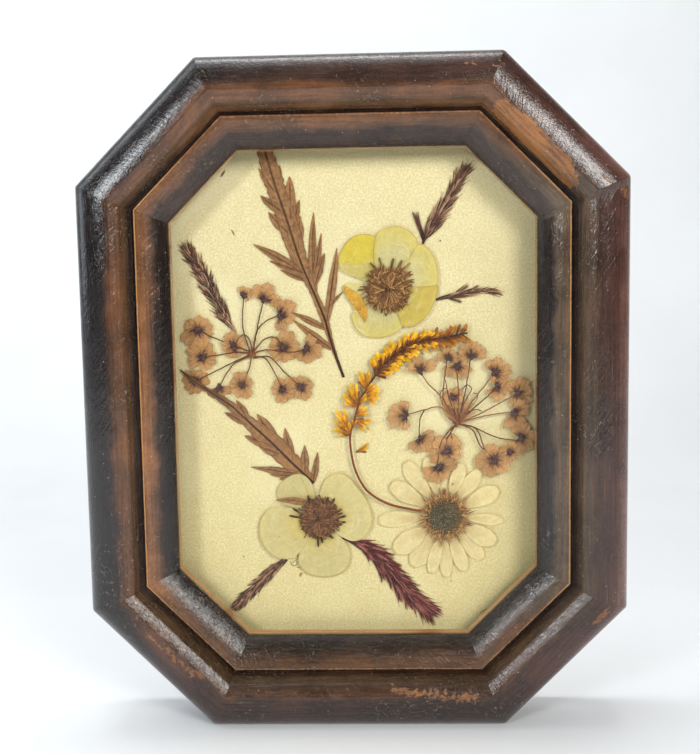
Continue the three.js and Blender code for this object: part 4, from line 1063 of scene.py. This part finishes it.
def make_goldenrod(materials):
    rng = random.Random(7)
    piece = Piece()
    height = level(5) - 0.1
    steps = 170
    line = curve(STALK, steps)
    stalk = raised(line, height + 0.1)
    piece.tube(stalk, np.linspace(0.34, 0.24, len(stalk)), 7, 0.8, 0.5, 2)
    for x1, z1, x2, z2, width in LOWER_FLORETS:
        ray_floret(piece, (x1, z1), (x2, z2), width, height + rng.uniform(-0.1, 0.1), rng)
    way = np.gradient(line, axis=0)
    for i in range(SPRAY["nodes"]):
        share = i / (SPRAY["nodes"] - 1)
        k = int((SPRAY["from"] + (SPRAY["to"] - SPRAY["from"]) * share) * steps)
        turn = math.degrees(math.atan2(way[k, 1], way[k, 0]))
        length = np.interp(share, (0, 1), SPRAY_LENGTH)
        radius = np.interp(share, (0, 1), SPRAY_WIDTH)
        for side in (1, -1):
            for _ in range(2):
                aim = turn + side * SPRAY["lean"] * rng.uniform(0.55, 1.4)
                part = length * rng.uniform(0.8, 1.12)
                up = height + rng.uniform(-0.08, 0.24)
                finger(piece, line[k], aim, part * 0.62, radius * 0.8, up + 0.05, rng, 1)
                look = 3 if share > 0.72 else 0
                finger(piece, line[k], aim + rng.uniform(-6, 6), part, radius, up, rng, look)
    return piece.build("goldenrod_detail", materials, ["goldenrod"])


# ---- flowers

BUTTERCUP_CENTRE = (8.8, 112.4)
# Each petal: the node's number, its layer, its tone, its outline from one side of its base to the other.
BUTTERCUP = [
    (1, 2, 0.2, [
        (5.2, 115.2), (1.5, 115.5), (-1.6, 116.4), (-3.5, 118), (-3.8, 120.2), (-2.8, 123),
        (-1.2, 125.2), (1, 126.5), (3.8, 126.7), (6, 125.8), (7, 123), (8.2, 118),
    ]),
    (2, 3, 0.7, [
        (6.6, 116), (5.6, 119), (5.5, 122.5), (6, 126), (7.6, 127.9), (10.8, 128.7), (13.4, 128.2),
        (15.6, 126.5), (16.8, 124.4), (15.8, 120), (13, 116),
    ]),
    (3, 4, 0.75, [
        (12, 115.5), (14.6, 120), (17.2, 123.8), (19.6, 122.6), (21.3, 120), (22, 116.6), (21.9, 113.6),
        (19.4, 112.9), (16.4, 113), (13, 113),
    ]),
    (4, 3, 0.25, [
        (12.6, 113.6), (17.2, 113.9), (21.8, 113.4), (21.6, 110), (20, 106.4), (17.8, 103.8),
        (15.2, 102.5), (13, 102.6), (12.2, 104), (11.4, 108),
    ]),
    (5, 2, 0.5, [
        (11.6, 109.2), (13.3, 104.2), (11.6, 101.4), (8.8, 100), (5.6, 99.6), (2.6, 100.1),
        (0.6, 101.8), (-0.6, 104.8), (0, 107), (3.4, 110.4),
    ]),
]
PALE_CENTRE = (-10.3, 51.8)
PALE = [
    (1, 2, 0.4, [
        (-12.4, 53.6), (-17, 54.6), (-20.6, 56), (-21.5, 58.6), (-20.6, 60.9), (-18.6, 62.7),
        (-16, 63.7), (-13.6, 63), (-11.9, 60.7), (-11.2, 57.6), (-10.4, 55),
    ]),
    (2, 3, 0.7, [
        (-10.6, 55), (-9.6, 59.2), (-8.2, 62.3), (-5.2, 63.8), (-2.2, 62.8), (0.4, 59.6), (2.8, 56),
        (4, 52), (3.6, 48.8), (1.4, 46), (-1.6, 45.3), (-5.2, 47),
    ]),
    (3, 3, 0.6, [
        (-14, 53.6), (-18.6, 54.6), (-22.6, 54.7), (-25, 53), (-26.3, 50), (-26.3, 46.4), (-25, 43.6),
        (-22.6, 41.2), (-19.6, 40.4), (-16.6, 41.3), (-14, 44.6), (-12, 48.4),
    ]),
    (4, 2, 0.55, [
        (-12.8, 48), (-15.3, 43.2), (-16, 40), (-15, 37.4), (-12.6, 35.9), (-9.4, 35.4), (-6.2, 35.7),
        (-3.6, 37.2), (-2.1, 40), (-2.4, 43.4), (-4.4, 46.2), (-7.4, 48.6),
    ]),
]


def make_petals(prefix, centre, petals, material, seed, creases):
    for number, layer, tone, points in petals:
        rng = random.Random(seed + number)
        piece = Piece()
        found = creases.get(number, ())
        fan(piece, centre, curve(points, 96), level(layer), rng, 56, 0.08, tone, 0.07, found, crinkles=0.16)
        if prefix == "buttercup" and number == 5:
            add_fold(piece, level(layer) + 0.2, rng)
        node = f"{prefix}_petal_{number}"
        own = {("buttercup", 1): "buttercup_deep", ("buttercup", 4): "buttercup_gold"}.get((prefix, number))
        materials = [MATERIALS[own] if own else material, MATERIALS["fold"]]
        piece.build(node + "_detail", materials, [node])


def add_fold(piece, height, rng):
    """The edge of the lowest buttercup petal that is doubled over, ribbed across, and a scrap under it."""
    scrap = curve([(-2.6, 113.6), (-1.6, 114.2), (1, 114), (3, 113.2), (2.4, 111.6), (0.6, 110.8)], 24)
    fan(piece, (-0.6, 112), scrap, height - 0.15, rng, 10, 0.07, 1.0, 0.05)
    line = curve([(-2.7, 113.5), (-1.2, 111.6), (0.6, 109.6), (2.2, 107), (2.9, 103.8)], 90)
    half = curve([[0.15], [1.15], [1.55], [1.35], [0.12]], 90)[:, 0]
    blade(piece, line, half, height, rng, thickness=0.2, cols=13, curl=-0.12, tone=0.6, slot=1)
    points = piece.points[-1]
    points[:, 1] += 0.07 * np.sin((points[:, 2] - points[:, 0] * 0.35) * 2 * math.pi / 0.62)


def strand(piece, centre, turn, inner, outer, bend, height, radius, rng, tip=1.25):
    """One stamen: a filament that runs out from the middle to a thicker, blunt anther."""
    shares = np.array([0, 0.2, 0.4, 0.6, 0.7, 0.8, 0.9, 0.97, 1.0])
    angles = turn + bend * shares**1.5
    reach = inner + (outer - inner) * shares
    flat = np.array([np.array(centre) + heading(a) * r for a, r in zip(angles, reach)])
    lift = height + 0.25 * np.sin(shares * math.pi * 0.9) + rng.uniform(-0.02, 0.02)
    widths = radius * np.array([0.8, 0.85, 0.9, 1.0, tip * 0.9, tip, tip, tip * 0.8, tip * 0.3])
    piece.tube(raised(flat, lift), widths, 5, 0.8, rng.random())


# How far the stamens reach: (direction, reach), read round the flower.
BUTTERCUP_REACH = [
    (0, 6.8), (25, 7.6), (45, 7.8), (62, 6.6), (80, 6.2), (100, 6.6), (115, 7.6), (128, 7.4), (145, 6.2),
    (170, 6.4), (190, 6.2), (208, 6.2), (225, 7.0), (245, 6.4), (270, 6.2), (290, 6.2), (308, 7.0),
    (325, 6.0), (340, 5.6), (360, 6.8),
]
PALE_REACH = [
    (0, 5.6), (30, 5.8), (60, 5.9), (90, 5.8), (120, 6.0), (150, 5.7), (180, 5.5), (210, 5.8), (240, 5.9),
    (270, 5.6), (300, 5.5), (330, 5.5), (360, 5.6),
]
# Its longest stamens: direction, reach, radius.
BUTTERCUP_THREADS = [
    (178, 8.0, 0.2), (170, 7.4, 0.16), (120, 8.4, 0.22), (104, 8.6, 0.22), (80, 8.2, 0.3),
    (62, 8.4, 0.3), (48, 9.0, 0.28), (196, 6.8, 0.2), (262, 7.0, 0.3),
]
# The pale flower's long dark stamens: from and to, in x and z.
PALE_RODS = [
    (-15, 53, -17.2, 54.5), (-15, 51.9, -18.2, 52.5), (-12.8, 56.2, -13, 58), (-9.7, 56.2, -10, 58.1),
    (-8.3, 56, -7.6, 57.5), (-6.9, 55.4, -5.9, 57.1), (-7, 54.4, -5.6, 55.4), (-6, 53, -4.1, 54.1),
    (-5.2, 51.7, -2.9, 52.3), (-6, 50.4, -3, 50.6), (-6.4, 49.9, -4, 49.9), (-8, 47.8, -6.5, 46.1),
    (-9.8, 47, -9.3, 44.9), (-10.7, 46.8, -10.5, 43.8), (-6, 52.4, -3.8, 53.1),
]


def make_stamens(name, centre, reaches, counts, seed, looks, tangle, spread, threads=(), rods=()):
    rng = random.Random(seed)
    piece = Piece()
    height = level(5) - 0.05
    directions = [r[0] for r in reaches]
    lengths = [r[1] for r in reaches]
    for count, inner, scale, lift in counts:
        for i in range(count):
            turn = (i + rng.uniform(-0.4, 0.4)) * 360 / count
            outer = float(np.interp(turn % 360, directions, lengths)) * scale * rng.uniform(0.88, 1.03)
            start = inner * rng.uniform(0.6, 1.3)
            radius = rng.uniform(0.12, 0.19)
            strand(piece, centre, turn, start, outer, rng.uniform(-16, 16), height + lift, radius, rng)
    for _ in range(tangle):
        spot = np.array(centre) + heading(rng.uniform(0, 360)) * spread * math.sqrt(rng.random())
        out = math.degrees(math.atan2(spot[1] - centre[1], spot[0] - centre[0])) + rng.uniform(-100, 100)
        up = height + rng.uniform(0.26, 0.42)
        finger(piece, spot, out, rng.uniform(1.1, 2.3), rng.uniform(0.13, 0.2), up, rng, 0, 35)
    for turn, reach, radius in threads:
        strand(piece, centre, turn, 3, reach, rng.uniform(-4, 4), height, radius, rng, 1.2)
    for x1, z1, x2, z2 in rods:
        steps = np.linspace(0, 1, 6)
        line = np.column_stack([x1 + (x2 - x1) * steps, np.full(6, height + 0.1), z1 + (z2 - z1) * steps])
        piece.tube(line, [0.22, 0.24, 0.26, 0.28, 0.27, 0.12], 6, 0.8, 0.0, 1)
    for _ in range(26):
        spot = np.array(centre) + heading(rng.uniform(0, 360)) * 1.6 * math.sqrt(rng.random())
        piece.blob((spot[0], height + 0.3, spot[1]), (0.42, 0.2, 0.24), rng, rng.random(), 0, 6)
    return piece.build(name + "_detail", looks, [name])


DAISY_CENTRE = (23.2, 51.7)
DAISY = [
    (355, 16.1, 3.6), (27, 16.4, 5.6), (52, 15.9, 4.8), (71, 15.4, 4.2), (89, 14.5, 3.8), (106, 16.9, 4.2),
    (125, 18.2, 5.4), (148, 17, 5.6), (183, 17.9, 5.3), (215, 16.5, 6.6), (238, 16.3, 6.4), (257, 16.1, 4),
    (272, 17, 4), (290, 16.1, 4.6), (311, 15.8, 5.2), (332, 15.7, 6),
]


def make_daisy_petals():
    middle = np.array(DAISY_CENTRE)
    for i, (turn, reach, width) in enumerate(DAISY):
        rng = random.Random(300 + i)
        piece = Piece()
        shares = np.array([0.27, 0.33, 0.42, 0.55, 0.7, 0.83, 0.93, 0.985])
        widths = np.array([0.18, 0.24, 0.4, 0.68, 0.88, 0.82, 0.58, 0.28]) * width / 2
        ahead, aside = heading(turn), heading(turn + 90)
        stub = i == 4
        if stub:
            shares = np.linspace(0.3, 0.5, 8)
            widths = np.linspace(1.3, 0.25, 8)
        places = list(zip(shares, widths))
        left = [middle + ahead * reach * s + aside * w * rng.uniform(0.93, 1.05) for s, w in places]
        right = [middle + ahead * reach * s - aside * w * rng.uniform(0.93, 1.05) for s, w in places]
        end = middle + ahead * reach * (0.52 if stub else 0.985) + aside * rng.uniform(-0.3, 0.3)
        outline = curve(right + [end] + left[::-1], 64)
        tone = 0.0 if stub else rng.uniform(0.45, 0.75)
        material = MATERIALS["daisy_stub"] if stub else MATERIALS["daisy"]
        height = level(1 + i % 2)
        base = middle + ahead * 3.6
        fan(piece, base, outline, height, rng, 34, 0.08, tone, 0.05, hub=0.03, pleats=0.02, crinkles=0.08)
        gap = (DAISY[(i + 1) % 16][0] - turn) % 360
        fold = turn + gap * rng.uniform(0.42, 0.58)
        for side in (-1, 1):
            start = middle + heading(fold + side * gap * 0.2) * 4.6
            tip = middle + heading(fold + side * rng.uniform(0, 2)) * rng.uniform(6.6, 8.8)
            numbers = (*start, *tip, rng.uniform(0.35, 0.6))
            lobe(piece, numbers, level(4), rng, thickness=0.06, cols=5, tone=rng.random(), slot=1)
        node = f"daisy_petal_{i + 1:02d}"
        piece.build(node + "_detail", [material, MATERIALS["daisy_web"]], [node])


def make_daisy_disc():
    rng = random.Random(90)
    piece = Piece()
    middle = np.array(DAISY_CENTRE)
    base = level(4) - 0.2
    arc_angles = np.linspace(0.1, math.pi - 0.1, 18)
    for k in range(3):
        radius = 5.0 - 1.2 * k
        line = [(middle[0] - radius * math.cos(a), base + 0.1 + 0.12 * k, middle[1]) for a in arc_angles]
        piece.tube(np.array(line), radius * np.sin(arc_angles), 40, 0.06, 0.2, 2)
    total = 980
    for i in range(total):
        radius = 5.7 * math.sqrt((i + 0.5) / total)
        turn = i * 137.508 + rng.uniform(-6, 6)
        spot = middle + heading(turn) * radius
        dome = base + 0.3 + 0.34 * math.cos(min(radius / 5.6, 1) * math.pi / 2)
        if radius < 4.2 + rng.uniform(-0.4, 0.4):
            size = rng.uniform(0.09, 0.17)
            place = (spot[0], dome + rng.uniform(-0.1, 0.1), spot[1])
            ring = 1 if radius > rng.uniform(2.9, 4.4) else 0
            piece.blob(place, (size, size * 1.3, size * 0.85), rng, rng.random(), ring, 4)
        else:
            way = heading(turn + rng.uniform(-35, 35))
            length = rng.uniform(0.4, 0.8) * (1.5 if radius > 5.4 else 1)
            shares = np.linspace(0, 1, 4)
            flat = spot + way * (shares * length)[:, None]
            line = raised(flat, dome + rng.uniform(0, 0.2) * np.sin(shares * 2))
            piece.tube(line, [0.08, 0.11, 0.08, 0.03], 4, 0.9, rng.random(), 1)
    looks = [MATERIALS["disc"], MATERIALS["disc_rim"], MATERIALS["disc_ground"]]
    return piece.build("daisy_disc_detail", looks, ["daisy_disc"])


# ---- crumbs on the card

CRUMB_RODS = [
    (-34.2, 142.2, -33.0, 143.8, 0.24), (-31.8, 128.5, -31, 127, 0.14), (32.6, 25, 34.3, 26, 0.1),
    (-15.9, 35.4, -15.4, 36.5, 0.3), (-16.4, 39.9, -17, 40.4, 0.12), (24.6, 34.2, 25.2, 33.4, 0.07),
]
# Small grains: x, height, z, radius. Two of them lie on petals.
CRUMB_DOTS = [
    (22.8, 0.12, 124.7, 0.24), (-30.9, 0.12, 41, 0.22), (-21, 1.05, 46.7, 0.2), (25.5, 1.05, 60.5, 0.28),
    (14.2, 0.12, 71.5, 0.16), (-38, 0.12, 74, 0.15),
]
CRUMB_LOOPS = [
    [(-18.2, 39.6), (-17.9, 38.6), (-16.9, 38.4), (-16.4, 39.2), (-17, 39.8), (-17.6, 39.2)],
    [(-16.6, 41.8), (-16.2, 40.6), (-15.4, 39.4), (-14.8, 38.2)],
    [(-16.8, 38), (-15.6, 37.8), (-14.9, 38.6)],
]


def make_crumbs():
    rng = random.Random(5)
    piece = Piece()
    for x1, z1, x2, z2, radius in CRUMB_RODS:
        line = np.array([(x1, 0.14, z1), ((x1 + x2) / 2 + 0.1, 0.2, (z1 + z2) / 2), (x2, 0.14, z2)])
        piece.tube(curve(line, 6), np.array([0.4, 0.8, 1, 1, 1, 0.8, 0.3]) * radius, 6, 0.8, rng.random())
    for x, height, z, radius in CRUMB_DOTS:
        piece.blob((x, height, z), (radius, radius * 0.6, radius * 0.8), rng, rng.random(), 0, 6)
    for line in CRUMB_LOOPS:
        piece.tube(raised(curve(line, 18), 0.14), 0.07, 4, 1, rng.random())
    piece.build("card_crumbs", [MATERIALS["stamen"]])


# ------------------------------------------------------------------ making the object


def dress(node, material):
    """Gives a plain piece of the part its look."""
    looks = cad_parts[node].data.materials
    looks.clear()
    looks.append(material)


MATERIALS = {
    "leaf": leaf_material(),
    "rib": dried(
        "leaf_rib", [(0, srgb(92, 58, 42)), (1, srgb(66, 42, 34))], srgb(56, 36, 30), srgb(104, 68, 48)
    ),
    "grass": dried(
        "dry_grass", [(0.05, srgb(62, 42, 38)), (0.5, srgb(102, 70, 58)), (0.95, srgb(142, 100, 78))],
        srgb(58, 40, 38), srgb(196, 156, 122)
    ),
    "purple": dried(
        "purple_grass", [(0.05, srgb(58, 32, 36)), (0.5, srgb(104, 52, 50)), (0.95, srgb(140, 66, 66))],
        srgb(46, 27, 34), srgb(168, 106, 92)
    ),
    "floret": petal_material(
        "tan_floret", srgb(170, 118, 76), srgb(208, 156, 100), srgb(158, 106, 62), srgb(150, 100, 62), 0.6,
        srgb(132, 90, 70), vein_share=0.6, edge_from=0.95, specks=srgb(128, 82, 52)
    ),
    "heart": dried("floret_heart", [(0, srgb(74, 52, 52)), (1, srgb(104, 76, 72))], srgb(54, 38, 38)),
    "ray": dried(
        "umbel_ray", [(0, srgb(120, 72, 46)), (1, srgb(98, 60, 42))], srgb(80, 48, 34), srgb(140, 92, 60)
    ),
    "gold": dried(
        "goldenrod_ray",
        [
            (0.1, srgb(134, 76, 28)), (0.42, srgb(204, 132, 28)),
            (0.68, srgb(240, 186, 38)), (0.95, srgb(250, 216, 76)),
        ],
        srgb(188, 116, 24)
    ),
    "cup": dried("goldenrod_cup", [(0, srgb(82, 48, 30)), (1, srgb(148, 88, 36))], srgb(66, 38, 28)),
    "rusty": dried(
        "goldenrod_rusty_ray",
        [(0.1, srgb(104, 60, 30)), (0.5, srgb(166, 100, 36)), (0.95, srgb(206, 146, 52))],
        srgb(120, 70, 30)
    ),
    "stalk": dried(
        "goldenrod_stalk",
        [(0, srgb(138, 72, 38)), (0.45, srgb(122, 60, 32)), (0.65, srgb(74, 44, 38)), (1, srgb(70, 42, 36))],
        srgb(84, 44, 30)
    ),
    "buttercup": petal_material(
        "buttercup_petal", srgb(224, 212, 154), srgb(226, 208, 120), srgb(204, 172, 76),
        srgb(210, 192, 118), 0.58,
        edge_from=0.96, spread=(0.5, 1.0)
    ),
    "buttercup_gold": petal_material(
        "buttercup_gold_petal", srgb(216, 196, 112), srgb(224, 198, 98), srgb(194, 162, 70),
        srgb(202, 176, 86), 0.66,
        edge_from=0.96
    ),
    "buttercup_deep": petal_material(
        "buttercup_deep_petal", srgb(242, 226, 120), srgb(238, 214, 80), srgb(198, 162, 54),
        srgb(222, 194, 74), 0.64,
        edge_from=0.965, pale_side=srgb(226, 208, 124)
    ),
    "fold": dried(
        "petal_fold", [(0, srgb(212, 164, 66)), (1, srgb(194, 146, 60))], srgb(146, 96, 34),
        None, 0.1, (14.0, 0.3)
    ),
    "pale": petal_material(
        "pale_petal", srgb(222, 196, 108), srgb(224, 207, 146), srgb(184, 156, 86), srgb(210, 190, 126), 0.68,
        edge_from=0.972
    ),
    "daisy": petal_material(
        "cream_petal", srgb(218, 192, 134), srgb(240, 220, 164), srgb(206, 178, 118),
        srgb(216, 192, 134), 0.72,
        srgb(150, 108, 66), edge_from=0.96
    ),
    "daisy_stub": petal_material(
        "brown_petal", srgb(150, 108, 70), srgb(186, 140, 92), srgb(134, 92, 58), srgb(140, 96, 60), 0.8,
        srgb(110, 70, 42)
    ),
    "daisy_web": dried("petal_web", [(0.1, srgb(134, 92, 56)), (0.9, srgb(184, 144, 96))], srgb(112, 74, 46)),
    "stamen": dried(
        "stamen", [(0, srgb(96, 62, 40)), (0.6, srgb(128, 88, 54)), (1, srgb(152, 108, 66))],
        srgb(78, 50, 34), srgb(178, 134, 84)
    ),
    "stamen_brown": dried(
        "stamen_brown", [(0, srgb(84, 54, 38)), (0.6, srgb(108, 72, 48)), (1, srgb(124, 84, 56))],
        srgb(66, 42, 32), srgb(144, 102, 66)
    ),
    "stamen_dark": dried("stamen_dark", [(0, srgb(76, 48, 36)), (1, srgb(90, 58, 42))], srgb(56, 36, 30)),
    "disc": dried(
        "daisy_disc_middle", [(0, srgb(98, 92, 70)), (1, srgb(126, 118, 90))], srgb(80, 74, 56),
        srgb(172, 162, 128)
    ),
    "disc_rim": dried(
        "daisy_disc_rim", [(0, srgb(134, 94, 58)), (0.6, srgb(182, 132, 80)), (1, srgb(204, 156, 100))],
        srgb(104, 70, 44), srgb(220, 178, 118)
    ),
    "disc_ground": dried(
        "daisy_disc_ground", [(0, srgb(94, 80, 58)), (1, srgb(104, 88, 64))], srgb(72, 60, 44)
    ),
}

make_frame(wood_material())
dress("glass", glass_material())
dress("card", card_material())
dress("backing_board", board_material())
steel = steel_material()
for number in range(1, 9):
    dress(f"point_{number}", steel)

leaf_looks = [MATERIALS["leaf"], MATERIALS["rib"]]
make_leaf("mugwort_leaf_upper", UPPER_LEAF, leaf_looks, 11, 0.14)
make_leaf("mugwort_leaf_lower", LOWER_LEAF, leaf_looks, 12, 0.12)
loose = Piece()
lobe(loose, (-12.6, 55.8, -21.8, 56.7, 1.9), level(4), random.Random(3), ridge=0.08, tone=0.55)
loose.build("leaf_lobe_detail", [MATERIALS["leaf"]], ["leaf_lobe"])
for number, head in enumerate(GRASS):
    look, slot = ("purple", "purple_grass") if number == 4 else ("grass", "dry_grass")
    make_grass(number, head, MATERIALS[look])
umbel_looks = [MATERIALS["floret"], MATERIALS["heart"], MATERIALS["ray"]]
make_umbel("umbel_left", LEFT_UMBEL, (-27.2, 95.8), 2, umbel_looks, 21)
make_umbel("umbel_right", RIGHT_UMBEL, (26.8, 77), 4, umbel_looks, 22, True)
gold_looks = [MATERIALS["gold"], MATERIALS["cup"], MATERIALS["stalk"], MATERIALS["rusty"]]
make_goldenrod(gold_looks)
fallen = Piece()
ray_floret(fallen, (-0.1, 69.2), (3.8, 70.9), 1.1, level(0), random.Random(8))
fallen.build("goldenrod_floret_detail", gold_looks, ["goldenrod_floret"])
BUTTERCUP_CREASES = {
    3: [
        (17.6, 123, 19.4, 117.4, 0.22, 0.3), (18.8, 122, 19.8, 118.6, 0.18, 0.28),
        (16.4, 120.4, 18.4, 115.4, 0.2, 0.2),
    ],
    2: [
        (8.2, 124.4, 13.6, 123, 0.22, 0.16), (11.8, 125.6, 15.6, 123.4, 0.22, 0.2),
        (7.4, 121.6, 13, 120.4, 0.2, 0.12),
    ],
    1: [(-3.4, 119.4, 4.6, 119.2, 0.25, 0.22)],
    4: [(14.8, 105.4, 18, 105.2, 0.25, 0.16), (13.4, 103.2, 15.6, 109.8, 0.2, 0.12)],
    5: [
        (8.4, 109, 9, 100.4, 0.3, 0.14), (0.8, 103.4, 2.6, 101, 0.22, 0.2),
        (4.4, 108, 3.4, 101.6, 0.25, 0.1),
    ],
}
make_petals(
    "buttercup", BUTTERCUP_CENTRE, BUTTERCUP, MATERIALS["buttercup"], 60, BUTTERCUP_CREASES
)
stamen_looks = [MATERIALS["stamen"], MATERIALS["stamen_dark"]]
rings = [(150, 1.6, 0.97, 0.0), (120, 1.3, 0.84, 0.16), (70, 1.0, 0.6, 0.34)]
make_stamens(
    "buttercup_stamens", (9.0, 112.3), BUTTERCUP_REACH, rings, 71, stamen_looks, 260, 5.0, BUTTERCUP_THREADS
)
PALE_CREASES = {
    1: [(-14.6, 62.6, -12.4, 57.6, 0.22, 0.2), (-17.6, 61, -14.4, 57.4, 0.22, 0.12)],
    2: [(-0.8, 61, 3, 54.6, 0.25, 0.14)],
}
make_petals("pale", PALE_CENTRE, PALE, MATERIALS["pale"], 80, PALE_CREASES)
stamen_looks = [MATERIALS["stamen_brown"], MATERIALS["stamen_dark"]]
rings = [(150, 1.4, 0.97, 0.0), (110, 1.2, 0.8, 0.16), (60, 0.8, 0.55, 0.32)]
make_stamens("pale_stamens", (-10.1, 51.6), PALE_REACH, rings, 72, stamen_looks, 300, 4.6, (), PALE_RODS)
make_daisy_petals()
make_daisy_disc()
make_crumbs()

# ------------------------------------------------------------------ floor, light and camera


def sweep():
    """A pale floor that curves up into a wall behind the frame."""
    s = Shader("studio_paper", 0.8)
    cloud = s.band(s.noise(s.place(), 0.01, 2.0), 0.4, 0.6)
    s.colour(s.mix(cloud, (0.83, 0.84, 0.85, 1), (0.85, 0.86, 0.87, 1)))
    front, floor_end, bend, wall_top, half_width = -1.2, 0.25, 0.25, 1.6, 1.6
    angles = np.linspace(0.1, math.pi / 2, 14)
    profile = [(front, 0.0), (floor_end, 0.0)]
    profile += [(floor_end + bend * math.sin(a), bend - bend * math.cos(a)) for a in angles]
    profile += [(floor_end + bend, wall_top)]
    verts = [(x, y, z) for y, z in profile for x in (-half_width, half_width)]
    faces = [(2 * i, 2 * i + 1, 2 * i + 3, 2 * i + 2) for i in range(len(profile) - 1)]
    mesh = bpy.data.meshes.new("studio_sweep")
    mesh.from_pydata(verts, [], faces)
    mesh.materials.append(s.material)
    mesh.shade_smooth()
    floor = bpy.data.objects.new("studio_sweep", mesh)
    bpy.context.scene.collection.objects.link(floor)


def area_light(name, place, target, size, power, colour=(1, 1, 1)):
    data = bpy.data.lights.new(name, "AREA")
    data.shape = "RECTANGLE"
    data.size, data.size_y = size
    data.energy = power
    data.color = colour
    lamp = bpy.data.objects.new(name, data)
    lamp.location = place
    lamp.rotation_euler = (Vector(target) - Vector(place)).to_track_quat("-Z", "Y").to_euler()
    bpy.context.scene.collection.objects.link(lamp)


def make_camera():
    tilt, yaw, roll = 0.096106, -0.033440, 0.013757
    sensor, focal_to_height = 36, 1000 / 754
    turn = Matrix.Rotation(roll, 3, "Z") @ Matrix.Rotation(yaw, 3, "Y") @ Matrix.Rotation(tilt, 3, "X")
    axes = [Vector((row[0], -row[2], row[1])) for row in turn]
    place = Vector((7.514, -256.557, 114.718)) * MM
    data = bpy.data.cameras.new("camera")
    data.sensor_width = sensor
    data.lens = sensor * focal_to_height
    data.clip_start = 0.01
    camera = bpy.data.objects.new("camera", data)
    camera.matrix_world = Matrix.Translation(place) @ Matrix(axes).transposed().to_4x4()
    bpy.context.scene.collection.objects.link(camera)
    bpy.context.scene.camera = camera


sweep()
middle = (0, 0, 0.085)
area_light("key", (0.4, -0.62, 0.38), middle, (0.3, 0.28), 4.15, (1.0, 0.985, 0.95))
area_light("left", (-0.39, -0.6, 0.32), middle, (0.15, 0.2), 2.4, (0.93, 0.97, 1.0))
area_light("rim", (-0.7, -0.03, 0.42), (0, -0.03, 0.16), (0.25, 0.7), 1.5, (0.82, 0.92, 1.0))
area_light("top", (-0.06, 0.08, 1.0), (-0.06, 0.08, 0), (0.5, 0.16), 2.6, (0.97, 0.99, 1.0))
area_light("floor", (-0.3, -0.1, 1.0), (-0.3, -0.1, 0), (0.9, 0.6), 2.6, (0.97, 0.99, 1.0))
area_light("backdrop", (-0.45, 0.05, 0.8), (-0.5, 0.5, 0.2), (1.1, 0.2), 1.2, (0.97, 0.99, 1.0))
world = bpy.data.worlds.new("studio")
bpy.context.scene.world = world
world.use_nodes = True
world.node_tree.nodes["Background"].inputs["Color"].default_value = (0.93, 0.97, 1.0, 1)
world.node_tree.nodes["Background"].inputs["Strength"].default_value = 0.08
bpy.context.scene.view_settings.view_transform = "Standard"
make_camera()
